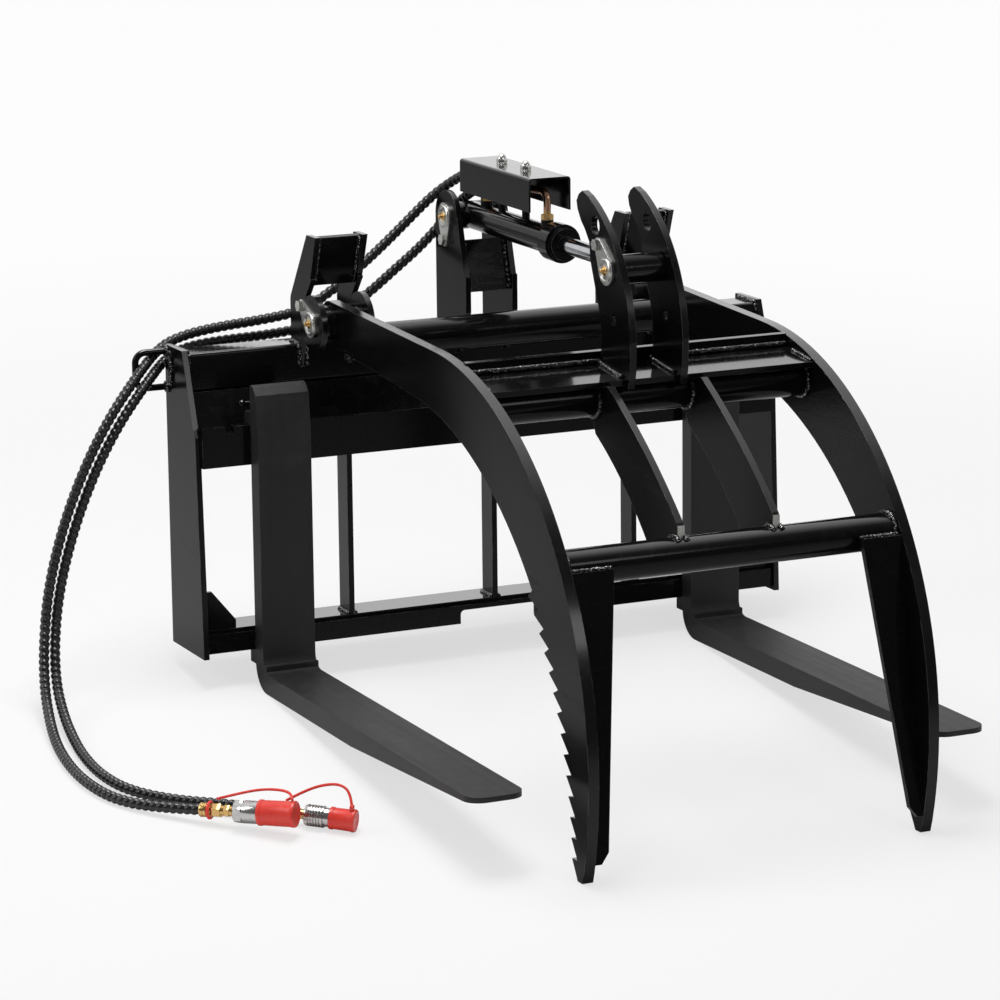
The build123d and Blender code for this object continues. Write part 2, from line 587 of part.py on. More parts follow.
# Curved tines between the pipes
tine_edge = [
    ThreePointArc((-640, 620), (-768, 537), (-888, 438)),
    Polyline((-888, 438), (-893, 432), (-893, 405), (-868, 372), (-780, 388)),
    ThreePointArc((-780, 388), (-700, 462), (-594, 532)),
    Polyline((-594, 532), (-575, 575), (-600, 615), (-640, 620))]
tine = make_face(Curve() + tine_edge) - cross
tine = tine - disc(FRONT_PIPE, PIPE_R) - disc(LOWER_PIPE, PIPE_R)
tine = tine.faces().sort_by(SortBy.AREA)[-1]
part["tine_right"], part["tine_left"] = both(slab(tine, TINE_X, TINE_X + TINE_T))

# Flat gussets inside the arm tips
drop = hypot(TIP_GUSSET_TOP[0] - TIP_GUSSET_LOW[0], TIP_GUSSET_TOP[1] - TIP_GUSSET_LOW[1])
gusset_up = (0, TIP_GUSSET_TOP[0] - TIP_GUSSET_LOW[0], TIP_GUSSET_TOP[1] - TIP_GUSSET_LOW[1])
gusset_plane = Plane(origin=(0, *TIP_GUSSET_LOW), x_dir=(1, 0, 0),
                     z_dir=Vector(1, 0, 0).cross(Vector(*gusset_up)))
gusset = outline((ARM_X, 0), (ARM_X, drop), (ARM_X - TIP_GUSSET_TOP_W, drop),
                 (ARM_X - TIP_GUSSET_LOW_W, 18), (ARM_X - TIP_GUSSET_LOW_W + 14, 0))
gusset = extrude(gusset_plane * gusset, amount=TIP_GUSSET_T)
gusset -= rod_x(LOWER_PIPE, PIPE_R, 0, ARM_X)
part["tip_gusset_right"], part["tip_gusset_left"] = both(gusset)

# Cylinder, built with its axis level from the base pin forwards and then turned to the rod pin
axis_y, axis_z = ROD_END[0] - BASE[0], ROD_END[1] - BASE[1]
AXIS_ANGLE = atan2(axis_z, -axis_y)
PIN_DISTANCE = hypot(axis_y, axis_z)
along = Vector(0, -cos(AXIS_ANGLE), sin(AXIS_ANGLE))
upward = Vector(0, sin(AXIS_ANGLE), cos(AXIS_ANGLE))
cylinder_at = Pos(0, *BASE) * Rot(-degrees(AXIS_ANGLE), 0, 0)


def on_axis(x, s, h):
    """Point at X = x, s along the cylinder from the base pin and h above its axis."""
    return Vector(x, *BASE) + along * s + upward * h


def turned(r, s0, s1):
    return extrude(Plane(origin=(0, -s0, 0), z_dir=(0, -1, 0)) * Circle(r), amount=s1 - s0)


def eye():
    return slab(Circle(EYE_R), -EYE_HALF, EYE_HALF)


def riser(r, s, h0, h1):
    return Pos(0, -s, h0) * extrude(Circle(r), amount=h1 - h0)


barrel = eye() + turned(BARREL_R, 10, GLAND_START) - turned(BARREL_BORE_R, BARREL_CAP, GLAND_END)
barrel -= slab(Circle(CYL_PIN_R + PIN_GAP), -EYE_HALF, EYE_HALF)
port_foot = BARREL_BORE_R + 2.0
for s in (BASE_PORT_AT, ROD_PORT_AT):
    barrel += riser(PORT_R, s, port_foot, BARREL_R + PORT_H)
cover_under = COVER_TOP - COVER_T
for s in POST_AT:
    barrel += riser(POST_R, s, port_foot, cover_under)
part["cylinder_barrel"] = cylinder_at * barrel
gland = turned(GLAND_NECK_R, GLAND_START, GLAND_END) + turned(
    GLAND_R, GLAND_START + 8, GLAND_END - 12)
gland -= turned(ROD_R + SLIDE_GAP, GLAND_START, GLAND_END)
part["cylinder_gland"] = cylinder_at * gland

cover_len = COVER_END - COVER_START
cover = Box(2 * COVER_HALF, cover_len, COVER_TOP - COVER_BOTTOM)
cover = fillet(cover.edges().filter_by(Axis.Y).group_by(Axis.Z)[-1], 2 * COVER_T)
hollow = Box(2 * (COVER_HALF - COVER_T), cover_len, COVER_TOP - COVER_BOTTOM)
hollow = fillet(hollow.edges().filter_by(Axis.Y).group_by(Axis.Z)[-1], COVER_T)
cover -= Pos(0, 0, -COVER_T) * hollow
cover = Pos(0, -(COVER_START + COVER_END) / 2, (COVER_TOP + COVER_BOTTOM) / 2) * cover
for s in POST_AT:
    cover -= riser(4 + SEAT_GAP, s, cover_under - 1, COVER_TOP + 1)
part["hose_cover"] = cylinder_at * cover
part["cover_bolts"] = cylinder_at * group(*(
    riser(4, s, cover_under, COVER_TOP) + riser(COVER_BOLT_R + 2, s, COVER_TOP, COVER_TOP + 1.5)
    + (riser(COVER_BOLT_R, s, COVER_TOP + 1.5, COVER_TOP + 8)
       & Pos(0, -s, COVER_TOP - 2) * Sphere(COVER_BOLT_R + 3)) for s in POST_AT))

rod_front = PIN_DISTANCE - CYL_PIN_R - 2
rod = turned(ROD_R, ROD_START, rod_front)
rod += turned(BARREL_BORE_R - SLIDE_GAP, ROD_START, ROD_START + PISTON_T)
rod += Pos(0, -PIN_DISTANCE, 0) * eye()
rod -= Pos(0, -PIN_DISTANCE, 0) * slab(Circle(CYL_PIN_R + SEAT_GAP), -EYE_HALF, EYE_HALF)
part["cylinder_rod"] = cylinder_at * rod
part["rod_pin_middle"] = rod_x(ROD_END, CYL_PIN_R, -EYE_HALF, EYE_HALF)

# Cylinder hoses. The last point of each lies at the ferrule of its fitting on the cylinder.
rod_hose_end = on_axis(-20, 196, 84)
base_hose_end = on_axis(0, 30, 53)
rod_route = [Vector(*p) for p in ROD_HOSE] + [rod_hose_end]
base_route = [Vector(*p) for p in BASE_HOSE] + [base_hose_end]
part["rod_end_hose"] = cord("rod end hose", rod_route, HOSE_R)
part["base_end_hose"] = cord("base end hose", base_route, HOSE_R)


def ferrule(route, length, r):
    """Round sleeve on the end of a hose, in line with its last run."""
    ahead = (route[-1] - route[-2]).normalized()
    face = route[-1] + ahead * SLIDE_GAP
    sleeve = extrude(Plane(origin=face, z_dir=ahead) * Circle(r), amount=length)
    return sleeve, face + ahead * length, ahead


def fitting(route, port_s, bend_r):
    """Ferrule and bent metal tube from a hose's end down into its port on the barrel."""
    sleeve, front_end, ahead = ferrule(route, FERRULE_L, FERRULE_R)
    port_top = on_axis(0, port_s, BARREL_R + PORT_H)
    run = (port_s - (front_end - Vector(0, *BASE)).dot(along)) / ahead.dot(along)
    beyond = front_end + ahead * run
    points = [front_end, Vector(0, beyond.Y, beyond.Z), port_top]
    if abs(beyond.X) > 1:
        points.insert(1, front_end + ahead * (run / 2 - bend_r))
    path = FilletPolyline(*points, radius=[bend_r] * (len(points) - 2))
    tube = sweep(Plane(origin=front_end, z_dir=ahead) * Circle(PORT_TUBE_R), path=path)
    nut = extrude(Plane(origin=port_top, z_dir=upward) * RegularPolygon(PORT_R, 6), amount=9)
    return sleeve + tube + nut


part["rod_end_fitting"] = fitting(rod_route, ROD_PORT_AT, 16)
part["base_end_fitting"] = fitting(base_route, BASE_PORT_AT, 10)

# Loose hoses from the guide to the couplings on the floor
def loose_route(upper, points):
    """Straight on out of the guide from the upper stretch, then along the loose points."""
    ahead = (upper[0] - upper[1]).normalized()
    return [upper[0], upper[0] + ahead * GUIDE_RUN] + [Vector(*unstand(p)) for p in points]


outer_route = loose_route(rod_route, LOOSE_OUTER)
inner_route = loose_route(base_route, LOOSE_INNER)
part["loose_hose_outer"] = cord("loose hose outer", outer_route, HOSE_R)
part["loose_hose_inner"] = cord("loose hose inner", inner_route, HOSE_R)


def coupling(route, body_r, cap_r, cap_l, grooves):
    """Neck, body and dust cap in line with the end of a hose."""
    ahead = (route[-1] - route[-2]).normalized()
    at = Plane(origin=route[-1], z_dir=ahead)
    third = COUPLING_NECK_L / 3
    neck = extrude(at * Circle(FERRULE_R), amount=third)
    neck += extrude(at.offset(third) * RegularPolygon(FERRULE_R, 6), amount=third)
    neck += extrude(at.offset(2 * third) * Circle(FERRULE_R - 2), amount=third)
    body_at = at.offset(COUPLING_NECK_L)
    body = extrude(body_at * Circle(body_r), amount=BODY_L)
    for k in range(grooves):
        groove = Circle(body_r + 1) - Circle(body_r - 1.5)
        body -= extrude(body_at.offset(8 + 5 * k) * groove, amount=2.2)
    cap = extrude(at.offset(COUPLING_NECK_L + BODY_L) * Circle(cap_r), amount=cap_l)
    cap = fillet(cap.edges().sort_by_distance(route[-1])[-1], 4)
    return neck, body, cap, at


neck, body, cap, socket_at = coupling(outer_route, SOCKET_R, SOCKET_CAP_R, SOCKET_CAP_L, 0)
part["socket_coupling"] = neck + body
part["socket_cap"] = cap
neck, body, cap, plug_at = coupling(inner_route, PLUG_R, PLUG_CAP_R, PLUG_CAP_L, 5)
part["plug_coupling"] = neck + body
part["plug_cap"] = cap


def lanyard(name, at, body_end, cap_r, cap_l, lift, sweep_out):
    """Cord from the end of a cap, over it and back to the neck of its coupling."""
    def local(along_axis, across, up):
        spot = at.origin + at.z_dir * along_axis + sideways * across
        return spot + floor_up * up
    floor_up = Vector(*unstand((0, 0, 1))) - Vector(*unstand((0, 0, 0)))
    sideways = floor_up.cross(at.z_dir).normalized()
    end = body_end + cap_l
    points = [local(end - 8, 0, cap_r + LANYARD_R + SLIDE_GAP),
              local(end - 14, sweep_out * 0.5, cap_r + lift * 0.65 + 1),
              local(end - 34, sweep_out * 0.8, cap_r + lift),
              local(end - 68, sweep_out, cap_r + lift * 0.75),
              local(end - 100, sweep_out * 0.8, cap_r + lift * 0.3),
              local(24, sweep_out * 0.35, FERRULE_R + 4)]
    return cord(name, points, LANYARD_R)


neck_end = COUPLING_NECK_L + BODY_L
part["cap_lanyards"] = group(
    lanyard("socket lanyard", socket_at, neck_end, SOCKET_CAP_R, SOCKET_CAP_L, 10, 30),
    lanyard("plug lanyard", plug_at, neck_end, PLUG_CAP_R, PLUG_CAP_L, 34, 26))

# Lay the part as it stands: tilted, on the floor, centred under the rigid pieces
LOOSE = {"loose_hose_outer", "loose_hose_inner", "socket_coupling", "plug_coupling",
         "socket_cap", "plug_cap", "cap_lanyards"}
tilt = Rot(-degrees(TILT), 0, 0)
part = {name: tilt * shape for name, shape in part.items()}
boxes = [shape.bounding_box() for name, shape in part.items() if name not in LOOSE]
shift = Pos(-(min(b.min.X for b in boxes) + max(b.max.X for b in boxes)) / 2,
            -(min(b.min.Y for b in boxes) + max(b.max.Y for b in boxes)) / 2, -FLOOR)
os.makedirs("parts", exist_ok=True)
for name, shape in part.items():
    export_step(shift * shape, "parts/" + name + ".step")

print("tilt", round(degrees(TILT), 4), "shift", [round(v, 3) for v in shift.position])
print("pieces", len(part))
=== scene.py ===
from collections import namedtuple
from math import cos, pi, radians, sin, sqrt

import bmesh
import bpy
from bpy.props import FloatProperty, FloatVectorProperty, PointerProperty
from mathutils import Matrix, Vector, noise


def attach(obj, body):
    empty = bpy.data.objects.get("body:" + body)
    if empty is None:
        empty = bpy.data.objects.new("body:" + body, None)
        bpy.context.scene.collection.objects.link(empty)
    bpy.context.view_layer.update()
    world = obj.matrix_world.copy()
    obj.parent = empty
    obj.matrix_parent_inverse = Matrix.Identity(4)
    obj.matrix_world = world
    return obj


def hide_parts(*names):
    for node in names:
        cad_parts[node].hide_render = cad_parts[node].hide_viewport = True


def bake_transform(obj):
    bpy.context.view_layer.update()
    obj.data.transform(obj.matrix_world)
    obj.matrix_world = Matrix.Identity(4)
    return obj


bl_info = {
    "name": "Pallet Fork Grapple",
    "version": (1, 0, 0),
    "blender": (4, 5, 0),
    "location": "3D View > Sidebar > Grapple",
    "description": "Finishes, hoses, welds and small fittings of a pallet fork grapple",
    "category": "Object",
}

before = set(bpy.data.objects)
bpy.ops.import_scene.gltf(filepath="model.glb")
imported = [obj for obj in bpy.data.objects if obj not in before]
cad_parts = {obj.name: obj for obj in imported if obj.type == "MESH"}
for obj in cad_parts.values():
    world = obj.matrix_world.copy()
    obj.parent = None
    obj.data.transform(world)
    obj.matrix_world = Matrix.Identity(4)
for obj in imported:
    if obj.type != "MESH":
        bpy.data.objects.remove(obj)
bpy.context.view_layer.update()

# The frame's own level directions, in which its plates and pipes are square, lean back by this
# angle as the part stands on its fork heels and arm tips.
LEAN = radians(6.3545)
LEVEL_ORIGIN = Vector((0.033, 0.37389, -0.005227))
LEVEL_BACK = Vector((0, cos(LEAN), -sin(LEAN)))
LEVEL_UP = Vector((0, sin(LEAN), cos(LEAN)))

# Camera that looks at the part as the photograph does, in metres, degrees and millimetres.
CAMERA_PLACE = (-3.02612, -6.01000, 2.60985)
CAMERA_TURN = (71.896, -2.0701, -24.849)
CAMERA_LENS = 148.3
CAMERA_SENSOR = 36.0

# Softboxes: name, place, the point they face, width and depth in metres, and watts.
SOFTBOXES = (
    ("overhead softbox", (-0.4, 0.5, 3.4), (0, 0, 0.3), 2.0, 1.3, 88),
    ("left softbox", (-4.0, 0.9, 2.4), (0, 0, 0.4), 0.8, 2.0, 34),
    ("front softbox", (1.6, -4.2, 3.2), (0, 0, 0.3), 1.0, 1.0, 18))
FLOOR_HALF = 14.0
WORLD_STRENGTH = 0.36
REFLECTED_DARK_SIDE = 0.13

# Hose routes, in metres. A loose hose and the cylinder hose that it runs on into share their
# first point inside the guide.
ROD_END_ROUTE = [
    (-0.584, 0.575, 0.5540), (-0.548, 0.612, 0.5700), (-0.497, 0.629, 0.5832),
    (-0.427, 0.626, 0.5946), (-0.347, 0.613, 0.6041), (-0.277, 0.599, 0.6187),
    (-0.222, 0.598, 0.6520), (-0.167, 0.607, 0.6872), (-0.112, 0.621, 0.7239),
    (-0.062, 0.630, 0.7631), (-0.021, 0.625, 0.8040), (0.008, 0.600, 0.8369),
    (0.020, 0.560, 0.8615), (0.016, 0.511, 0.8740), (0.013, 0.460, 0.8806),
    (0.012, 0.413, 0.8840), (0.013, 0.374, 0.8878)]
BASE_END_ROUTE = [
    (-0.570, 0.573, 0.5361), (-0.534, 0.614, 0.5496), (-0.483, 0.632, 0.5617),
    (-0.413, 0.629, 0.5681), (-0.337, 0.619, 0.5732), (-0.269, 0.612, 0.5820),
    (-0.207, 0.610, 0.6003), (-0.147, 0.612, 0.6343), (-0.093, 0.616, 0.6752),
    (-0.042, 0.621, 0.7119), (-0.003, 0.625, 0.7476), (0.021, 0.612, 0.7853),
    (0.033, 0.580, 0.8170), (0.033, 0.536, 0.8398)]
LOOSE_OUTER_ROUTE = [
    (-0.584, 0.575, 0.5540), (-0.625, 0.533, 0.5356), (-0.683, 0.499, 0.4800),
    (-0.733, 0.482, 0.4010), (-0.776, 0.470, 0.3020), (-0.809, 0.450, 0.1990),
    (-0.828, 0.418, 0.1100), (-0.845, 0.364, 0.0500), (-0.862, 0.288, 0.0200),
    (-0.881, 0.196, 0.0105), (-0.892, 0.099, 0.0100), (-0.890, 0.012, 0.0105),
    (-0.870, -0.066, 0.0100), (-0.824, -0.129, 0.0140), (-0.764, -0.183, 0.0225)]
LOOSE_INNER_ROUTE = [
    (-0.570, 0.573, 0.5361), (-0.610, 0.528, 0.5210), (-0.665, 0.499, 0.4670),
    (-0.714, 0.482, 0.3910), (-0.756, 0.470, 0.2940), (-0.789, 0.450, 0.1930),
    (-0.807, 0.422, 0.1080), (-0.822, 0.369, 0.0520), (-0.834, 0.294, 0.0220),
    (-0.846, 0.206, 0.0105), (-0.856, 0.119, 0.0100), (-0.855, 0.036, 0.0105),
    (-0.835, -0.038, 0.0100), (-0.782, -0.104, 0.0110), (-0.712, -0.170, 0.0195),
    (-0.655, -0.216, 0.0195)]

LOOSE_OUTER_L = 1.237
LOOSE_INNER_L = 1.287
# Rings of a hose's skin for each of its route's points.
HOSE_RINGS = 84

# Pin and pipe axes as (back, up), and faces of the frame and the grapple where beads are laid,
# in millimetres in the level directions.
PIVOT = (8.0, 647.0)
BASE_PIN = (98.0, 805.0)
ROD_PIN = (-566.0, 800.0)
REAR_PIPE = (-130.0, 634.0)
FRONT_PIPE = (-586.0, 591.0)
LOWER_PIPE = (-884.0, 384.0)
PIPE_BEAD_R = 31.0
TUBE_FRONT = 65
TUBE_TOP = 603
SIDE_PLATE_X = 566
RIB_X = 278
GUIDE_AXIS_Y = 140
ARM_X = 299.5
GUSSET_LOW = Vector((0, -1000, -75))
GUSSET_HIGH = Vector((0, -920, 384))
TINE_END = 0.8912
ROD_EYE_R = 0.0262
BRAZED_NUT_TOP = 47.0

# A weld's ripples, and the rings that its bead is built from, in metres.
WELD_RIPPLE = 0.0038
WELD_RING_STEP = 0.0011

# Where the tail, the body and the cap of a coupling start and end along it, and its own sizes,
# in millimetres. A lanyard's length is in metres.
TAIL_HEX = 20.4
TAIL_NUT = 18.0
BODY_START = 60
BODY_END = 105.0
PLUG_RINGS = 5
PLUG_RING_PITCH = 4.8
Coupling = namedtuple("Coupling", "kind route body_r cap_r cap_l rise out lanyard_l")
COUPLINGS = (
    Coupling("socket", LOOSE_OUTER_ROUTE, 19.0, 22.0, 62.0, 10.0, 30.0, 0.150),
    Coupling("plug", LOOSE_INNER_ROUTE, 18.0, 19.0, 42.0, 34.0, 26.0, 0.145))

# Colours that stay as they are: dust on each finish, bare metal and tarnish. The bare steel and
# fork colours also serve as painted highlights on rubbed edges, the steel one as painted glints.
PAINT_DUST = (0.25, 0.24, 0.22, 1)
FORK_DUST = (0.3, 0.29, 0.27, 1)
PLASTIC_DUST = (0.4, 0.38, 0.35, 1)
BARE_STEEL_AND_GLINT = (0.46, 0.45, 0.43, 1)
BARE_FORK_AND_HIGHLIGHT = (0.35, 0.35, 0.34, 1)
DULL_ZINC = (0.5, 0.5, 0.47)
DULL_BRASS = (0.62, 0.36, 0.14)
DULL_STEEL = (0.42, 0.42, 0.41)
DULL_CHROME = (0.4, 0.41, 0.43)

PAINTED = [
    "bracket_webs", "corner_gussets", "cross_plate", "cylinder_barrel", "cylinder_gland",
    "frame_ribs", "front_pipe", "hose_cover", "hose_guide", "latch_left", "latch_right",
    "lower_pipe", "lower_rail", "lower_shelf", "mast_web", "quick_attach_foot",
    "quick_attach_lip", "rear_pipe", "recess_plate", "thrust_washers", "tip_gusset_left",
    "tip_gusset_right", "top_tube", "upper_fork_bar"]
FLAME_CUT = [
    "clevis_plate_left", "clevis_plate_right", "grapple_arm_left", "grapple_arm_right",
    "inner_bracket_left", "inner_bracket_right", "mast_plate_left", "mast_plate_right",
    "outer_bracket_left", "outer_bracket_right", "side_plate_left", "side_plate_right"]
ZINC = ["arm_pin_left", "arm_pin_right", "base_pin", "clevis_keeper_bolt", "clevis_pin_ends",
        "cover_bolts", "frame_keeper_bolts", "rod_pin_middle"]


def level(x, y, z):
    """Point from millimetres in the frame's own level directions."""
    return LEVEL_ORIGIN + Vector((x, 0, 0)) / 1000 + LEVEL_BACK * y / 1000 + LEVEL_UP * z / 1000


def on_cylinder(x, along, out):
    """Point from millimetres along the cylinder from its base pin and out from its axis."""
    reach = Vector((ROD_PIN[0] - BASE_PIN[0], ROD_PIN[1] - BASE_PIN[1])).normalized()
    return level(x, BASE_PIN[0] + reach.x * along + reach.y * out,
                 BASE_PIN[1] + reach.y * along - reach.x * out)


def in_metres(points):
    return [level(*p) for p in points]


# Node groups

def new_group(name, inputs, outputs):
    """Empty shader group with float, colour or vector sockets: (name, kind, default)."""
    group = bpy.data.node_groups.new(name, "ShaderNodeTree")
    for side, sockets in (("INPUT", inputs), ("OUTPUT", outputs)):
        for title, kind, default in sockets:
            socket = group.interface.new_socket(title, in_out=side, socket_type=kind)
            if default is not None:
                socket.default_value = default
    return group, group.nodes.new("NodeGroupInput"), group.nodes.new("NodeGroupOutput")


def add(tree, kind, inputs=None, **settings):
    """Node with its settings, and its inputs set or linked."""
    node = tree.nodes.new(kind)
    for name, value in settings.items():
        setattr(node, name, value)
    for key, value in (inputs or {}).items():
        socket = node.inputs[key]
        if isinstance(value, bpy.types.NodeSocket):
            tree.links.new(value, socket)
        else:
            socket.default_value = value
    return node


def math(tree, operation, *values):
    return add(tree, "ShaderNodeMath", dict(enumerate(values)), operation=operation).outputs[0]


def edge_wear_group():
    """Mask of rubbed edges, which also paints thin highlights along them, and a normal that
    rounds them.
    """
    group, given, out = new_group(
        "edge wear and painted highlight",
        [("Radius", "NodeSocketFloat", 0.0015), ("Amount", "NodeSocketFloat", 0.5)],
        [("Worn and highlit", "NodeSocketFloat", None), ("Normal", "NodeSocketVector", None)])
    bevel = add(group, "ShaderNodeBevel", {"Radius": given.outputs["Radius"]}, samples=6)
    flat = add(group, "ShaderNodeNewGeometry")
    dot = add(group, "ShaderNodeVectorMath", {0: bevel.outputs[0], 1: flat.outputs["Normal"]},
              operation="DOT_PRODUCT")
    place = add(group, "ShaderNodeTexCoord")
    patches = add(group, "ShaderNodeTexNoise", {
        "Vector": place.outputs["Object"], "Scale": 22.0, "Detail": 5.0, "Roughness": 0.65})
    bend = math(group, "SUBTRACT", 1.0, dot.outputs["Value"])
    edge = add(group, "ShaderNodeMapRange", {
        "Value": bend, "From Min": 0.05, "From Max": 0.28}).outputs[0]
    patchy = add(group, "ShaderNodeMapRange", {
        "Value": patches.outputs["Fac"], "From Min": 0.46, "From Max": 0.62}).outputs[0]
    # This mask marks rubbed edges and also paints thin highlights along them.
    worn = math(group, "MULTIPLY", math(group, "MULTIPLY", edge, patchy),
                given.outputs["Amount"])
    group.links.new(worn, out.inputs["Worn and highlit"])
    group.links.new(bevel.outputs[0], out.inputs["Normal"])
    return group


def paint_film_group():
    """Uneven sprayed film: orange peel, broad changes of tone and faint scuffs."""
    group, given, out = new_group(
        "paint film",
        [("Peel", "NodeSocketFloat", 260.0), ("Scuff", "NodeSocketFloat", 14.0)],
        [("Height", "NodeSocketFloat", None), ("Scuffed", "NodeSocketFloat", None),
         ("Tone", "NodeSocketFloat", None)])
    place = add(group, "ShaderNodeTexCoord").outputs["Object"]
    peel = add(group, "ShaderNodeTexNoise", {
        "Vector": place, "Scale": given.outputs["Peel"], "Detail": 2.0}).outputs["Fac"]
    long_way = add(group, "ShaderNodeMapping", {
        "Vector": place, "Scale": (1.0, 0.25, 3.0), "Rotation": (0.3, 0.2, 0.9)}).outputs[0]
    scuff = add(group, "ShaderNodeTexNoise", {
        "Vector": long_way, "Scale": given.outputs["Scuff"], "Detail": 9.0,
        "Roughness": 0.72, "Distortion": 0.6}).outputs["Fac"]
    mask = add(group, "ShaderNodeMapRange", {
        "Value": scuff, "From Min": 0.56, "From Max": 0.72}).outputs[0]
    broad = add(group, "ShaderNodeTexNoise", {
        "Vector": place, "Scale": 3.5, "Detail": 4.0}).outputs["Fac"]
    group.links.new(peel, out.inputs["Height"])
    group.links.new(mask, out.inputs["Scuffed"])
    group.links.new(broad, out.inputs["Tone"])
    return group


def flame_cut_group():
    """Drag lines that a cutting torch leaves through a plate's edge, along X."""
    group, given, out = new_group(
        "flame cut edge", [("Lines", "NodeSocketFloat", 620.0)],
        [("Height", "NodeSocketFloat", None), ("Edge", "NodeSocketFloat", None)])
    place = add(group, "ShaderNodeTexCoord").outputs["Object"]
    drawn = add(group, "ShaderNodeMapping", {
        "Vector": place, "Scale": (0.03, 1.0, 1.0)}).outputs[0]
    lines = add(group, "ShaderNodeTexNoise", {
        "Vector": drawn, "Scale": given.outputs["Lines"], "Detail": 3.0}).outputs["Fac"]
    normal = add(group, "ShaderNodeNewGeometry").outputs["Normal"]
    sideways = math(group, "ABSOLUTE", add(
        group, "ShaderNodeSeparateXYZ", {0: normal}).outputs["X"])
    edge = math(group, "LESS_THAN", sideways, 0.5)
    group.links.new(math(group, "MULTIPLY", lines, edge), out.inputs["Height"])
    group.links.new(edge, out.inputs["Edge"])
    return group


def dust_group():
    """Pale dust that settles on surfaces that face up, and a mask of the level ones."""
    group, given, out = new_group(
        "dust", [("Amount", "NodeSocketFloat", 0.1)],
        [("Dusty", "NodeSocketFloat", None), ("Level", "NodeSocketFloat", None)])
    place = add(group, "ShaderNodeTexCoord").outputs["Object"]
    drift = add(group, "ShaderNodeTexNoise", {
        "Vector": place, "Scale": 40.0, "Detail": 8.0, "Roughness": 0.7}).outputs["Fac"]
    up = add(group, "ShaderNodeSeparateXYZ", {
        0: add(group, "ShaderNodeNewGeometry").outputs["Normal"]}).outputs["Z"]
    facing = math(group, "MAXIMUM", up, 0.0)
    specks = add(group, "ShaderNodeMapRange", {
        "Value": drift, "From Min": 0.5, "From Max": 0.75}).outputs[0]
    dusty = math(group, "MULTIPLY", math(group, "MULTIPLY", facing, specks),
                 given.outputs["Amount"])
    group.links.new(dusty, out.inputs["Dusty"])
    flat = add(group, "ShaderNodeMapRange", {"Value": up, "From Min": 0.5, "From Max": 0.95})
    group.links.new(flat.outputs[0], out.inputs["Level"])
    return group


GROUPS = {"edge wear and painted highlight": edge_wear_group, "paint film": paint_film_group,
          "flame cut edge": flame_cut_group, "dust": dust_group}


def use(tree, name, **inputs):
    """The shared group of that name, built once and placed in a material."""
    shared = bpy.data.node_groups.get(name) or GROUPS[name]()
    node = add(tree, "ShaderNodeGroup", node_tree=shared)
    for key, value in inputs.items():
        node.inputs[key].default_value = value
    return node


def new_material(name, **settings):
    """Material with a Principled shader, its constants set on the shader itself."""
    made = bpy.data.materials.new(name)
    made.use_nodes = True
    shader = made.node_tree.nodes["Principled BSDF"]
    for key, value in settings.items():
        shader.inputs[key.replace("_", " ").replace("Ior", "IOR")].default_value = value
    return made, made.node_tree, shader


def blend_colours(tree, mask, first, second):
    mix = add(tree, "ShaderNodeMix", data_type="RGBA")
    for index, value in ((0, mask), (6, first), (7, second)):
        if isinstance(value, bpy.types.NodeSocket):
            tree.links.new(value, mix.inputs[index])
        else:
            mix.inputs[index].default_value = value
    return mix.outputs[2]


def blend_values(tree, mask, low, high):
    return add(tree, "ShaderNodeMapRange", {"Value": mask, "To Min": low, "To Max": high},
               ).outputs[0]


def rgba(colour, scale=1.0):
    return (colour[0] * scale, colour[1] * scale, colour[2] * scale, 1.0)


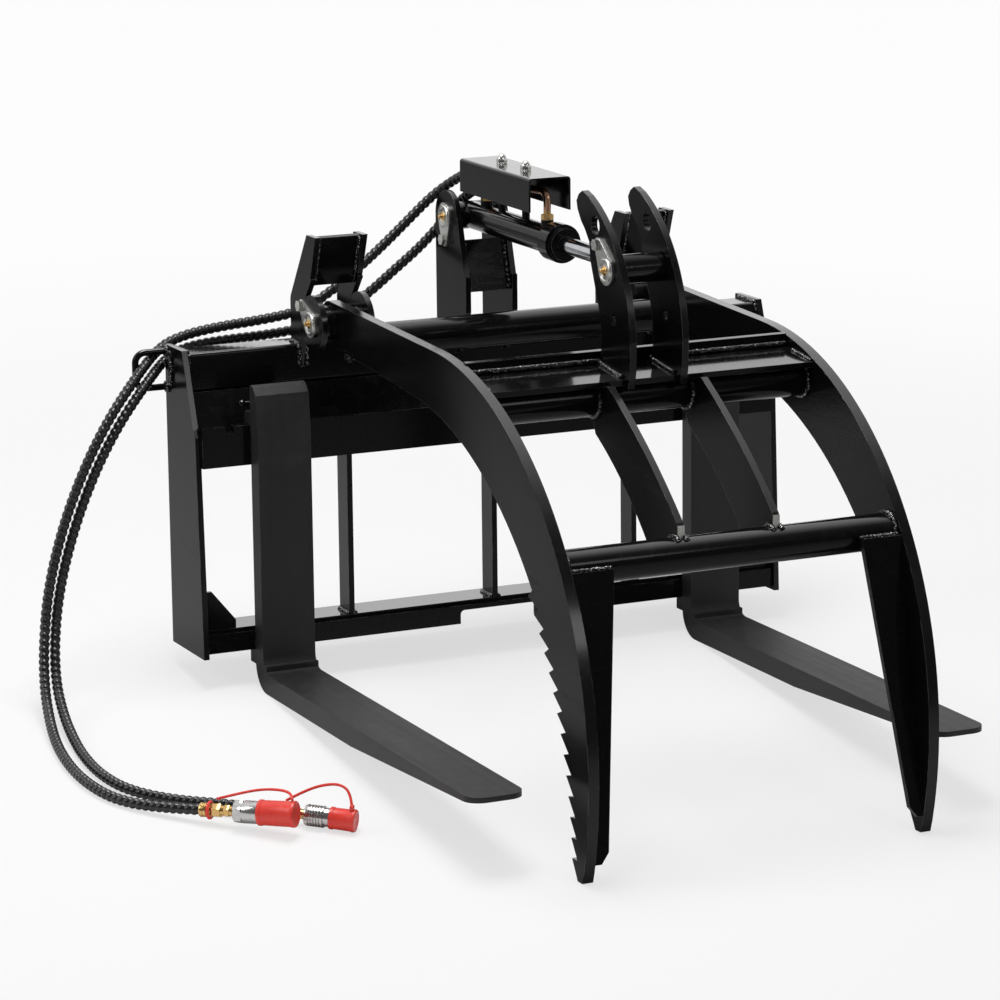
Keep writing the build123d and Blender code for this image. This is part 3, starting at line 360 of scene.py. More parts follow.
def paint_material(name, colour, rough, cut=False, bare_below=None, peel=0.05, spatter_and_glint=0.0):
    """Sprayed black paint, worn to steel on its edges.

    The steel colour on rubbed edges is partly a painted highlight along them. The film lies
    thicker and glossier on level faces, and on torch cut edges where cut is set. bare_below
    leaves a ground end unpainted, and the spatter argument breaks the film in bright specks,
    partly unpainted weld splashes and partly painted glints.
    """
    made, tree, shader = new_material(name, Specular_Ior_Level=0.075 if cut else 0.13,
                                      Coat_Ior=1.8, Coat_Roughness=0.16 if cut else 0.08)
    film = use(tree, "paint film")
    wear_and_highlight = use(tree, "edge wear and painted highlight", Radius=0.0014, Amount=0.5)
    dust = use(tree, "dust", Amount=0.04)
    bare_and_glint = wear_and_highlight.outputs["Worn and highlit"]
    height = film.outputs["Height"]
    flooded = math(tree, "MULTIPLY", dust.outputs["Level"], 0.85)
    if cut:
        torch = use(tree, "flame cut edge")
        height = math(tree, "ADD", height, math(
            tree, "MULTIPLY", torch.outputs["Height"], 4.0))
        flooded = math(tree, "MAXIMUM", flooded, math(
            tree, "MULTIPLY", torch.outputs["Edge"], 0.22))
    # Weld specks: partly unpainted spatter, partly painted glints on the bead.
    if spatter_and_glint:
        specks = add(tree, "ShaderNodeTexNoise", {
            "Vector": add(tree, "ShaderNodeTexCoord").outputs["Object"], "Scale": 330.0,
            "Detail": 3.0, "Roughness": 0.7}).outputs["Fac"]
        bare_and_glint = math(tree, "MAXIMUM", bare_and_glint, math(tree, "GREATER_THAN", specks, spatter_and_glint))
        height = math(tree, "ADD", height, math(tree, "MULTIPLY", specks, 3.0))
    if bare_below is not None:
        place = add(tree, "ShaderNodeTexCoord").outputs["Object"]
        back = add(tree, "ShaderNodeVectorMath", {0: place, 1: LEVEL_BACK},
                   operation="DOT_PRODUCT").outputs["Value"]
        ragged = math(tree, "MULTIPLY", film.outputs["Tone"], 0.0004)
        bare_and_glint = math(tree, "MAXIMUM", bare_and_glint, math(
            tree, "LESS_THAN", math(tree, "ADD", back, ragged), bare_below))
    tone = blend_colours(tree, film.outputs["Tone"], rgba(colour, 0.75), rgba(colour, 1.3))
    scuffed = blend_colours(tree, math(tree, "MULTIPLY", film.outputs["Scuffed"], 0.35),
                            tone, rgba(colour, 2.6))
    dusty = blend_colours(tree, dust.outputs["Dusty"], scuffed, PAINT_DUST)
    # Rubbed edges, weld specks and a ground end take the steel colour: worn and unpainted steel,
    # partly also painted highlights and glints.
    tree.links.new(blend_colours(tree, bare_and_glint, dusty, BARE_STEEL_AND_GLINT),
                   shader.inputs["Base Color"])
    tree.links.new(math(tree, "MULTIPLY", bare_and_glint, 0.85), shader.inputs["Metallic"])
    tree.links.new(flooded, shader.inputs["Coat Weight"])
    gloss = blend_values(tree, film.outputs["Scuffed"], rough, rough + 0.14)
    tree.links.new(math(tree, "ADD", gloss, math(tree, "MULTIPLY", bare_and_glint, 0.08)),
                   shader.inputs["Roughness"])
    bump = add(tree, "ShaderNodeBump", {
        "Height": height, "Strength": peel, "Distance": 0.001,
        "Normal": wear_and_highlight.outputs["Normal"]})
    tree.links.new(bump.outputs[0], shader.inputs["Normal"])
    return made


def fork_material(name, colour):
    """Matte charcoal over forged and rolled steel, with long faint streaks."""
    made, tree, shader = new_material(name, Specular_Ior_Level=0.3)
    film = use(tree, "paint film", Peel=420.0, Scuff=9.0)
    wear_and_highlight = use(tree, "edge wear and painted highlight", Radius=0.0016, Amount=0.25)
    dust = use(tree, "dust", Amount=0.07)
    place = add(tree, "ShaderNodeTexCoord").outputs["Object"]
    along = add(tree, "ShaderNodeMapping", {
        "Vector": place, "Scale": (60.0, 2.0, 2.0)}).outputs[0]
    streaks = add(tree, "ShaderNodeTexNoise", {
        "Vector": along, "Scale": 1.0, "Detail": 6.0}).outputs["Fac"]
    tone = blend_colours(tree, streaks, rgba(colour, 0.8), rgba(colour, 1.25))
    scuffed = blend_colours(tree, math(tree, "MULTIPLY", film.outputs["Scuffed"], 0.35),
                            tone, rgba(colour, 2.2))
    dusty = blend_colours(tree, dust.outputs["Dusty"], scuffed, FORK_DUST)
    # Rubbed edges take the fork's steel colour: partly worn steel, partly a painted highlight.
    tree.links.new(blend_colours(tree, wear_and_highlight.outputs["Worn and highlit"], dusty, BARE_FORK_AND_HIGHLIGHT),
                   shader.inputs["Base Color"])
    tree.links.new(blend_values(tree, streaks, 0.42, 0.6), shader.inputs["Roughness"])
    bump = add(tree, "ShaderNodeBump", {
        "Height": film.outputs["Height"], "Strength": 0.12, "Distance": 0.001,
        "Normal": wear_and_highlight.outputs["Normal"]})
    tree.links.new(bump.outputs[0], shader.inputs["Normal"])
    return made


def metal_material(name, colour, rough, stain, grain=90.0, stretch=(1.0, 1.0, 1.0)):
    """Bare or plated metal with cloudy tarnish and fine tool marks."""
    made, tree, shader = new_material(name, Metallic=1.0)
    place = add(tree, "ShaderNodeTexCoord").outputs["Object"]
    marks_at = add(tree, "ShaderNodeMapping", {"Vector": place, "Scale": stretch}).outputs[0]
    marks = add(tree, "ShaderNodeTexNoise", {
        "Vector": marks_at, "Scale": grain * 9, "Detail": 4.0}).outputs["Fac"]
    clouds = add(tree, "ShaderNodeTexNoise", {
        "Vector": place, "Scale": grain, "Detail": 5.0, "Roughness": 0.6}).outputs["Fac"]
    wear_and_highlight = use(tree, "edge wear and painted highlight", Radius=0.0006, Amount=0.3)
    tree.links.new(blend_colours(tree, clouds, rgba(colour), rgba(stain)),
                   shader.inputs["Base Color"])
    tree.links.new(blend_values(tree, marks, rough * 0.7, rough * 1.5),
                   shader.inputs["Roughness"])
    bump = add(tree, "ShaderNodeBump", {
        "Height": marks, "Strength": 0.12, "Distance": 0.0004,
        "Normal": wear_and_highlight.outputs["Normal"]})
    tree.links.new(bump.outputs[0], shader.inputs["Normal"])
    return made


def moulded_material(name, colour, rough, grain, strength):
    """Moulded plastic or rubber with a fine skin and uneven gloss."""
    made, tree, shader = new_material(name)
    place = add(tree, "ShaderNodeTexCoord").outputs["Object"]
    skin = add(tree, "ShaderNodeTexNoise", {
        "Vector": place, "Scale": grain, "Detail": 3.0}).outputs["Fac"]
    shade = add(tree, "ShaderNodeTexNoise", {
        "Vector": place, "Scale": 60.0, "Detail": 4.0}).outputs["Fac"]
    dust = use(tree, "dust", Amount=0.12)
    tone = blend_colours(tree, shade, rgba(colour, 0.85), rgba(colour, 1.12))
    tree.links.new(blend_colours(tree, dust.outputs["Dusty"], tone, PLASTIC_DUST),
                   shader.inputs["Base Color"])
    tree.links.new(blend_values(tree, shade, rough * 0.85, rough * 1.3),
                   shader.inputs["Roughness"])
    bump = add(tree, "ShaderNodeBump", {
        "Height": skin, "Strength": strength, "Distance": 0.0005})
    tree.links.new(bump.outputs[0], shader.inputs["Normal"])
    return made


def rod_material(name, colours):
    """Hard chrome, with the eye round the pin painted black."""
    made = metal_material(name, colours.chrome, 0.12, DULL_CHROME, grain=40.0)
    tree = made.node_tree
    shader = tree.nodes["Principled BSDF"]
    place = add(tree, "ShaderNodeTexCoord").outputs["Object"]
    off_axis = add(tree, "ShaderNodeVectorMath", {
        0: add(tree, "ShaderNodeVectorMath", {0: place, 1: level(0, *ROD_PIN)},
               operation="SUBTRACT").outputs[0], 1: (0, 1, 1)}, operation="MULTIPLY")
    reach = add(tree, "ShaderNodeVectorMath", {0: off_axis.outputs[0]}, operation="LENGTH")
    eye = math(tree, "LESS_THAN", reach.outputs["Value"], ROD_EYE_R)
    metal = shader.inputs["Base Color"].links[0].from_socket
    tree.links.new(blend_colours(tree, eye, metal, rgba(colours.paint)),
                   shader.inputs["Base Color"])
    tree.links.new(math(tree, "SUBTRACT", 1.0, eye), shader.inputs["Metallic"])
    shader.inputs["Specular IOR Level"].default_value = 0.3
    return made


def fitting_material(name, colours):
    """Brazed tube fitting: yellow nuts, with the bend between them coppery."""
    made = metal_material(name, colours.brass, 0.24, DULL_BRASS)
    tree = made.node_tree
    shader = tree.nodes["Principled BSDF"]
    up = add(tree, "ShaderNodeVectorMath", {
        0: add(tree, "ShaderNodeTexCoord").outputs["Object"], 1: LEVEL_UP},
        operation="DOT_PRODUCT").outputs["Value"]
    foot = on_cylinder(0, 0, BRAZED_NUT_TOP).dot(LEVEL_UP)
    tube = math(tree, "GREATER_THAN", up, foot)
    metal = shader.inputs["Base Color"].links[0].from_socket
    tree.links.new(blend_colours(tree, tube, metal, rgba(colours.copper)),
                   shader.inputs["Base Color"])
    return made


def tine_material(name, colours):
    end = LEVEL_ORIGIN.dot(LEVEL_BACK) - TINE_END
    return paint_material(name, colours.paint, 0.2, cut=True, bare_below=end, peel=0.1)


FINISHES = {
    "black paint": lambda name, c: paint_material(name, c.paint, 0.13),
    "black paint on cut plate": lambda name, c: paint_material(
        name, c.paint, 0.2, cut=True, peel=0.1),
    "black paint on tines": tine_material,
    "black paint on welds": lambda name, c: paint_material(
        name, c.paint, 0.12, peel=0.5, spatter_and_glint=0.575),
    "charcoal fork": lambda name, c: fork_material(name, c.fork),
    "zinc plate": lambda name, c: metal_material(name, c.zinc, 0.26, DULL_ZINC),
    "brass": lambda name, c: metal_material(name, c.brass, 0.22, DULL_BRASS),
    "turned steel": lambda name, c: metal_material(
        name, c.steel, 0.2, DULL_STEEL, grain=120.0),
    "chrome rod": rod_material,
    "copper tube": fitting_material,
    "hose guard": lambda name, c: moulded_material(name, c.guard, 0.26, 700.0, 0.08),
    "red cap": lambda name, c: moulded_material(name, c.cap, 0.3, 300.0, 0.12),
    "red lanyard": lambda name, c: moulded_material(name, c.cap, 0.42, 500.0, 0.1)}


def material(name):
    """The finish of that name, made on first use from the colours in the panel."""
    found = bpy.data.materials.get(name)
    return found or FINISHES[name](name, bpy.context.scene.grapple_colours)


# Mesh tools

def finish_piece(bm, name, body, finish, smooth=True, sharp=0.6):
    """Object from a bmesh, placed on its body with its finish."""
    bmesh.ops.remove_doubles(bm, verts=bm.verts, dist=1e-6)
    bmesh.ops.recalc_face_normals(bm, faces=bm.faces)
    for face in bm.faces:
        face.smooth = smooth
    for edge in bm.edges:
        if len(edge.link_faces) == 2 and edge.calc_face_angle() > sharp:
            edge.smooth = False
    mesh = bpy.data.meshes.new(name)
    bm.to_mesh(mesh)
    bm.free()
    mesh.materials.append(material(finish))
    piece = bpy.data.objects.new(name, mesh)
    bpy.context.scene.collection.objects.link(piece)
    if body:
        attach(piece, body)
    return piece


def facing(origin, direction, up=Vector((0, 0, 1))):
    """Matrix that puts local Z along a direction, with local Y as near up as it can be."""
    z = Vector(direction).normalized()
    x = up.cross(z)
    x = x.normalized() if x.length > 1e-4 else Vector((1, 0, 0))
    y = z.cross(x)
    return Matrix.Translation(origin) @ Matrix((x, y, z)).transposed().to_4x4()


def join(bm, part, at):
    """Add a finished part to a piece, placed by a matrix."""
    bmesh.ops.transform(part, matrix=at, verts=part.verts)
    mesh = bpy.data.meshes.new("part")
    part.to_mesh(mesh)
    part.free()
    bm.from_mesh(mesh)
    bpy.data.meshes.remove(mesh)


def lathe(bm, at, profile, steps=32):
    """Solid of revolution about local Z from (distance along, radius) pairs in millimetres."""
    part = bmesh.new()
    verts = [part.verts.new((r / 1000, 0, s / 1000)) for s, r in profile]
    edges = [part.edges.new(pair) for pair in zip(verts, verts[1:])]
    bmesh.ops.spin(part, geom=verts + edges, cent=(0, 0, 0), axis=(0, 0, 1),
                   angle=2 * pi, steps=steps, use_merge=True)
    join(bm, part, at)


def hexagon(bm, at, flats, s0, s1, chamfer=0.9):
    """Hexagonal nut about local Z between two distances, its corners chamfered."""
    part = bmesh.new()
    made = bmesh.ops.create_circle(part, cap_ends=True, segments=6,
                                   radius=flats / sqrt(3) / 1000,
                                   matrix=Matrix.Translation((0, 0, s0 / 1000)))
    face = made["verts"][0].link_faces[0]
    grown = bmesh.ops.extrude_face_region(part, geom=[face])
    top = [v for v in grown["geom"] if isinstance(v, bmesh.types.BMVert)]
    bmesh.ops.translate(part, verts=top, vec=(0, 0, (s1 - s0) / 1000))
    rims = [e for e in part.edges if e.verts[0].co.z == e.verts[1].co.z]
    bmesh.ops.bevel(part, geom=rims, offset=chamfer / 1000, segments=2, profile=0.5,
                    affect="EDGES", material=-1)
    join(bm, part, at)


def block(bm, at, size, place, bevel=1.0):
    """Box with rounded edges, its size and centre in millimetres."""
    part = bmesh.new()
    bmesh.ops.create_cube(part, size=1.0)
    bmesh.ops.scale(part, verts=part.verts, vec=Vector(size) / 1000)
    bmesh.ops.bevel(part, geom=list(part.edges), offset=bevel / 1000, segments=2,
                    profile=0.5, affect="EDGES", material=-1)
    join(bm, part, at @ Matrix.Translation(Vector(place) / 1000))


def spline_curve(name, points, cyclic=False, resolution=12):
    """Smooth open or closed curve that its points steer."""
    curve = bpy.data.curves.new(name, "CURVE")
    curve.dimensions = "3D"
    spline = curve.splines.new("NURBS")
    spline.points.add(len(points) - 1)
    for point, co in zip(spline.points, points):
        point.co = (*co, 1)
    spline.order_u = 3
    spline.use_endpoint_u = not cyclic
    spline.use_cyclic_u = cyclic
    spline.resolution_u = resolution
    return curve


def curve_mesh(curve):
    """Blender's own mesh of a curve as it stands, without an object left behind."""
    holder = bpy.data.objects.new("route", curve)
    bpy.context.scene.collection.objects.link(holder)
    mesh = bpy.data.meshes.new_from_object(holder)
    bpy.data.objects.remove(holder)
    return mesh


def ridged_tube(bm, points, radius, ridge, sectors=4, resolution=12, cyclic=False):
    """Tube round a smooth curve, its skin moved out by ridge(angle, distance along).

    Returns the points of the centre line.
    """
    curve = spline_curve("route", points, cyclic, resolution)
    line = curve_mesh(curve)
    centres = [v.co.copy() for v in line.vertices]
    curve.bevel_depth = radius
    curve.bevel_resolution = sectors
    skin = curve_mesh(curve)
    around = len(skin.vertices) // len(centres)
    travelled, total = [0.0], 0.0
    for a, b in zip(centres, centres[1:]):
        total += (b - a).length
        travelled.append(total)
    for i, vertex in enumerate(skin.vertices):
        ring, k = divmod(i, around)
        out = vertex.co - centres[ring]
        vertex.co = centres[ring] + out.normalized() * (
            radius + ridge(2 * pi * k / around, travelled[ring]))
    bm.from_mesh(skin)
    if not cyclic:
        rims = [e for e in bm.edges if e.is_boundary]
        bmesh.ops.holes_fill(bm, edges=rims, sides=0)
    bpy.data.meshes.remove(line)
    bpy.data.meshes.remove(skin)
    bpy.data.curves.remove(curve)
    return centres


def guard_ridge(pitch, groove):
    """Wound spiral guard: round backed turns with a narrow groove between them."""
    def ridge(angle, along):
        turn = (along / pitch + angle / (2 * pi)) % 1.0
        return -groove * (1 - abs(sin(pi * turn)) ** 0.7)
    return ridge


def guarded_hose(name, route, body):
    sizes = bpy.context.scene.grapple_sizes
    bm = bmesh.new()
    centres = ridged_tube(bm, route, sizes.hose_radius,
                          guard_ridge(sizes.guard_pitch, sizes.guard_groove), 4,
                          HOSE_RINGS)
    return finish_piece(bm, name, body, "hose guard", sharp=3.2), centres


# Operators

class GRAPPLE_OT_stage(bpy.types.Operator):
    """Camera, floor, backdrop light and lamps"""
    bl_idname = "grapple.stage"
    bl_label = "Stage"

    def execute(self, context):
        scene = context.scene
        camera = bpy.data.objects.new("camera", bpy.data.cameras.new("camera"))
        camera.data.sensor_width = CAMERA_SENSOR
        camera.data.lens = CAMERA_LENS
        camera.data.clip_end = 60.0
        camera.location = CAMERA_PLACE
        camera.rotation_euler = [radians(turn) for turn in CAMERA_TURN]
        scene.collection.objects.link(camera)
        scene.camera = camera
        scene.view_settings.view_transform = "Standard"

        bm = bmesh.new()
        bmesh.ops.create_grid(bm, x_segments=1, y_segments=1, size=FLOOR_HALF)
        mesh = bpy.data.meshes.new("floor")
        bm.to_mesh(mesh)
        bm.free()
        floor = bpy.data.objects.new("floor", mesh)
        scene.collection.objects.link(floor)
        surface = bpy.data.materials.new("pale floor")
        surface.use_nodes = True
        tree = surface.node_tree
        tree.nodes.clear()
        seen = add(tree, "ShaderNodeLightPath").outputs["Is Camera Ray"]
        away = add(tree, "ShaderNodeVectorMath", {
            0: add(tree, "ShaderNodeTexCoord").outputs["Object"]},
            operation="LENGTH").outputs["Value"]
        white = add(tree, "ShaderNodeMapRange", {
            "Value": away, "From Min": 0.9, "From Max": 3.6, "To Min": 0.66, "To Max": 0.97},
            interpolation_type="SMOOTHSTEP").outputs[0]
        diffuse = add(tree, "ShaderNodeBsdfDiffuse", {"Color": (0.8, 0.8, 0.8, 1)})
        glow = add(tree, "ShaderNodeEmission", {"Color": (1, 1, 1, 1), "Strength": 1.0})
        both = add(tree, "ShaderNodeMixShader", {
            0: math(tree, "MULTIPLY", seen, white), 1: diffuse.outputs[0],
            2: glow.outputs[0]})
        out = add(tree, "ShaderNodeOutputMaterial")
        tree.links.new(both.outputs[0], out.inputs[0])
        mesh.materials.append(surface)

        world = bpy.data.worlds.new("studio")
        world.use_nodes = True
        scene.world = world
        tree = world.node_tree
        sky = tree.nodes["Background"]
        path = add(tree, "ShaderNodeLightPath")
        shown = math(tree, "MAXIMUM", path.outputs["Is Camera Ray"],
                     math(tree, "MAXIMUM", path.outputs["Is Glossy Ray"],
                          path.outputs["Is Transmission Ray"]))
        behind = add(tree, "ShaderNodeVectorMath", {
            0: add(tree, "ShaderNodeTexCoord").outputs["Generated"], 1: (0.36, 0.93, 0.0)},
            operation="DOT_PRODUCT").outputs["Value"]
        backdrop = add(tree, "ShaderNodeMapRange", {
            "Value": behind, "From Min": -0.15, "From Max": 0.35,
            "To Min": REFLECTED_DARK_SIDE, "To Max": 1.0}).outputs[0]
        tree.links.new(add(tree, "ShaderNodeMix", {
            0: shown, 2: WORLD_STRENGTH, 3: backdrop}).outputs[0], sky.inputs["Strength"])
        sky.inputs["Color"].default_value = (1, 1, 1, 1)

        for name, place, aim, width, depth, power in SOFTBOXES:
            lamp = bpy.data.objects.new(name, bpy.data.lights.new(name, "AREA"))
            lamp.data.shape = "RECTANGLE"
            lamp.data.size, lamp.data.size_y = width, depth
            lamp.data.energy = power
            lamp.matrix_world = facing(place, Vector(place) - Vector(aim))
            scene.collection.objects.link(lamp)
        return {"FINISHED"}


class GRAPPLE_OT_finishes(bpy.types.Operator):
    """Paint, plating and coating on the frame's own pieces"""
    bl_idname = "grapple.finishes"
    bl_label = "Finishes"

    def execute(self, context):
        finishes = {"fork_left": "charcoal fork", "fork_right": "charcoal fork",
                    "cylinder_rod": "chrome rod", "rod_end_fitting": "copper tube",
                    "base_end_fitting": "copper tube", "tine_left": "black paint on tines",
                    "tine_right": "black paint on tines", "plug_cap": "red cap",
                    "socket_cap": "red cap", "plug_coupling": "turned steel",
                    "socket_coupling": "turned steel", "cap_lanyards": "red lanyard"}
        finishes.update(dict.fromkeys(PAINTED, "black paint"))
        finishes.update(dict.fromkeys(FLAME_CUT, "black paint on cut plate"))
        finishes.update(dict.fromkeys(ZINC, "zinc plate"))
        for name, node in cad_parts.items():
            node.data.materials.clear()
            node.data.materials.append(material(finishes.get(name, "hose guard")))
        return {"FINISHED"}


class GRAPPLE_OT_loose_hoses(bpy.types.Operator):
    """The two hoses from the guide to the couplings on the floor"""
    bl_idname = "grapple.loose_hoses"
    bl_label = "Loose hoses"

    def execute(self, context):
        for name, node, route, length, kind in (
                ("outer_hose", "loose_hose_outer", LOOSE_OUTER_ROUTE, LOOSE_OUTER_L, "socket"),
                ("inner_hose", "loose_hose_inner", LOOSE_INNER_ROUTE, LOOSE_INNER_L, "plug")):
            hose, centres = guarded_hose(name, route, "frame")
            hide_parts(node)
            end = [bpy.data.objects[kind + part] for part in ("_tail", "_body", "_lanyard_ring")]
            end.append(kind + "_cap")
        return {"FINISHED"}


class GRAPPLE_OT_cylinder_hoses(bpy.types.Operator):
    """The two hoses from the guide to the cylinder"""
    bl_idname = "grapple.cylinder_hoses"
    bl_label = "Cylinder hoses"

    def execute(self, context):
        for name, node, route in (("rod_end_guard", "rod_end_hose", ROD_END_ROUTE),
                                  ("base_end_guard", "base_end_hose", BASE_END_ROUTE)):
            hose, centres = guarded_hose(name, route, None)
            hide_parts(node)
            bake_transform(hose)
        return {"FINISHED"}


def weld_ridge(seed):
    """Overlapping ripples of a hand laid bead, none quite like the next."""
    def ridge(angle, along):
        ripple = (along / WELD_RIPPLE + 0.25 * cos(angle)) % 1.0
        rough = noise.noise(Vector((along * 260, cos(angle) * 2, sin(angle) * 2 + seed)))
        return 0.0010 * (sqrt(ripple) - 0.5) + 0.0014 * rough
    return ridge


def ring_points(x, centre, radius, start=0, sweep=360, count=28):
    """Points round a pipe's axis at one X, in millimetres."""
    steps = count if sweep == 360 else count - 1
    return [(x, centre[0] + radius * cos(radians(start + sweep * i / steps)),
             centre[1] + radius * sin(radians(start + sweep * i / steps)))
            for i in range(count)]


def frame_seams():
    """Beads of the frame as (points in millimetres, closed)."""
    seams = []
    for side in (-1, 1):
        # Arm brackets on the tube, and the webs between them.
        for x in (251.0, 265.0, 341.0, 355.0):
            seams.append([(side * x, TUBE_FRONT, 562), (side * x, TUBE_FRONT, 580),
                          (side * x, TUBE_FRONT, 597), (side * x, 72, TUBE_TOP),
                          (side * x, 88, TUBE_TOP), (side * x, 105, TUBE_TOP)])
        for x in (264.5, 341.5):
            seams.append([(side * x, -5.5, 799), (side * x, 2, 776), (side * x, 11, 748),
                          (side * x, 22.5, 714)])
        # Mast plates on the tube, and the web between them.
        for x in (52.5, 39.5):
            seams.append([(side * x, TUBE_FRONT, 564), (side * x, TUBE_FRONT, 582),
                          (side * x, 66, 599), (side * x, 78, TUBE_TOP),
                          (side * x, 104, TUBE_TOP), (side * x, 140, TUBE_TOP)])
        seams.append([(side * 39.5, 48.5, 764), (side * 39.5, 40, 735),
                      (side * 39.5, 31, 706), (side * 39.5, 24.5, 680)])
        # Side plates on the tube and the lower rail.
        seams.append([(side * SIDE_PLATE_X, 68, 603.0), (side * SIDE_PLATE_X, 90, 603.4),
                      (side * SIDE_PLATE_X, 112, 603.4), (side * SIDE_PLATE_X, 134, 603)])
        seams.append([(side * SIDE_PLATE_X, 64.8, 535), (side * SIDE_PLATE_X, 64.8, 555),
                      (side * SIDE_PLATE_X, 64.8, 578), (side * SIDE_PLATE_X, 65.5, 600)])
        seams.append([(side * SIDE_PLATE_X, 14, 112.5), (side * SIDE_PLATE_X, 32, 112.5),
                      (side * SIDE_PLATE_X, 55, 112.5), (side * SIDE_PLATE_X, 80, 112.5)])
        for x in (-RIB_X, RIB_X):
            seams.append([(x, 13, 113), (x + side * 0.5, 24, 113), (x - side * 0.4, 38, 113),
                          (x, 56, 113)])
    # Feet of the ribs on the lower rail.
    for x in (-289.5, -278.5, -5.8, 5.8, 278.5, 289.5):
        seams.append([(x, 14, 112.6), (x, 28, 112.6), (x, 42, 112.6), (x, 58, 112.6)])
    seams = [(seam, False) for seam in seams]
    # Hose guide on the side plate, and the bead beside it.
    for z in (533, 597):
        seams.append((ring_points(-579.5, (GUIDE_AXIS_Y, z), 6.5, count=14), True))
    seams.append(([(-579, 122, 600), (-580, 118, 582), (-579, 116, 560), (-580, 119, 538)],
                  False))
    return seams


def grapple_seams():
    """Beads of the grapple as (points in millimetres, closed)."""
    rings = [(ring_points(side * ARM_X, pipe, PIPE_BEAD_R), True)
             for pipe in (REAR_PIPE, FRONT_PIPE, LOWER_PIPE) for side in (-1, 1)]
    seams = []
    for side in (-1, 1):
        # Cross plate on the arm, and along the shelf behind it.
        seams.append([(side * ARM_X, -560, 634.5), (side * ARM_X, -585, 631.3),
                      (side * ARM_X, -606, 628.6), (side * ARM_X, -622, 626.5)])
        seams.append([(side * x, -536.4 + sin(x), 643.2 + 0.4 * sin(x))
                      for x in (57, 90, 125, 160, 195, 230, 265, 298)])
        # Both sides of a clevis plate's foot.
        for x in (41.0, 56.0):
            seams.append([(side * x, -532, 640), (side * x, -555, 636.5),
                          (side * x, -585, 632.7), (side * x, -618, 628.5)])
        # Both sides of a tine on the front and the lower pipe, and its ground end.
        for x in (79.5, 94.5):
            seams.append([(side * x, y, z) for _, y, z in ring_points(
                x, FRONT_PIPE, PIPE_BEAD_R, 145, 150, 12)])
            seams.append([(side * x, y, z) for _, y, z in ring_points(
                x, LOWER_PIPE, PIPE_BEAD_R, 60, 60, 6)])
        seams.append([(side * x, -893.5, 403.5) for x in (80, 84, 90, 94)])
        # Stitch welds of the tip gusset on the arm, and its top on the lower pipe.
        for k in range(5):
            low = GUSSET_LOW.lerp(GUSSET_HIGH, 0.16 + 0.17 * k)
            high = GUSSET_LOW.lerp(GUSSET_HIGH, 0.22 + 0.17 * k)
            seams.append([(side * 299.6, p.y - 1.5, p.z)
                          for p in (low, low.lerp(high, 0.35), low.lerp(high, 0.7), high)])
        seams.append([(side * x, -921, 385.5) for x in (227, 245, 263, 281, 298)])
    return rings + [(seam, False) for seam in seams]


class GRAPPLE_OT_welds(bpy.types.Operator):
    """Weld beads along the seams of the frame and of the grapple"""
    bl_idname = "grapple.welds"
    bl_label = "Welds"

    def execute(self, context):
        radius = context.scene.grapple_sizes.weld_radius
        for name, body, seams in (("frame_welds", "frame", frame_seams()),
                                  ("grapple_welds", "grapple", grapple_seams())):
            bm = bmesh.new()
            for seed, (seam, closed) in enumerate(seams):
                points = in_metres(seam)
                run = sum((b - a).length for a, b in zip(points, points[1:]))
                rings = max(3, int(run / (len(points) - 1) / WELD_RING_STEP))
                ridged_tube(bm, points, radius, weld_ridge(seed), 1, rings, closed)
            finish_piece(bm, name, body, "black paint on welds", sharp=3.2)
        return {"FINISHED"}


class GRAPPLE_OT_pin_ends(bpy.types.Operator):
    """Turned pin ends and brass grease nipples on the keeper plates"""
    bl_idname = "grapple.pin_ends"
    bl_label = "Pin ends"

    def execute(self, context):
        ring = [(0, 21.0), (1.6, 20.4), (2.6, 18.8), (2.4, 16.9), (0.9, 15.8), (0.7, 12.0),
                (1.6, 9.5), (1.6, 4.4), (0.2, 4.4), (0, 21.0)]
        nipple = [(0.8, 0.01), (0.8, 8.2), (2.4, 8.6), (3.2, 7.6), (3.4, 5.2), (5.4, 5.0),
                  (5.8, 3.5), (9.6, 3.5), (10.4, 2.4), (10.5, 0.01)]
        for name, body, x, centre in (("left_arm_pin", "frame", -358.0, PIVOT),
                                      ("right_arm_pin", "frame", 358.0, PIVOT),
                                      ("base_pin", "frame", -56.0, BASE_PIN),
                                      ("rod_pin", "grapple", -59.5, ROD_PIN)):
            outward = Vector((-1 if x < 0 else 1, 0, 0))
            at = facing(level(x, *centre), outward)
            for part, profile, finish, slot in (("end", ring, "zinc plate", "zinc_plate"),
                                                ("nipple", nipple, "brass", "fitting_brass")):
                bm = bmesh.new()
                lathe(bm, at, profile, 28)
                finish_piece(bm, name + "_" + part, body, finish)
        return {"FINISHED"}


class GRAPPLE_OT_cover_nuts(bpy.types.Operator):
    """Domed nuts that hold the hose cover down on its posts"""
    bl_idname = "grapple.cover_nuts"
    bl_label = "Cover nuts"

    def execute(self, context):
        bm = bmesh.new()
        for along in (131.0, 230.0):
            foot = on_cylinder(0, along, 109.0)
            at = facing(foot, on_cylinder(0, along, 110.0) - foot)
            hexagon(bm, at, 16.6, 1.4, 9.5)
            lathe(bm, at, [(8.5, 0.01), (9.4, 8.1), (12.4, 7.6), (15.2, 5.9), (17.2, 3.2),
                           (17.9, 0.01)], 24)
        finish_piece(bm, "cover_nuts", "barrel", "zinc plate")
        return {"FINISHED"}


def coupling_place(route):
    """Matrix at the end of a hose that looks on along it."""
    end, before = Vector(route[-1]), Vector(route[-2])
    return facing(end, end - before)


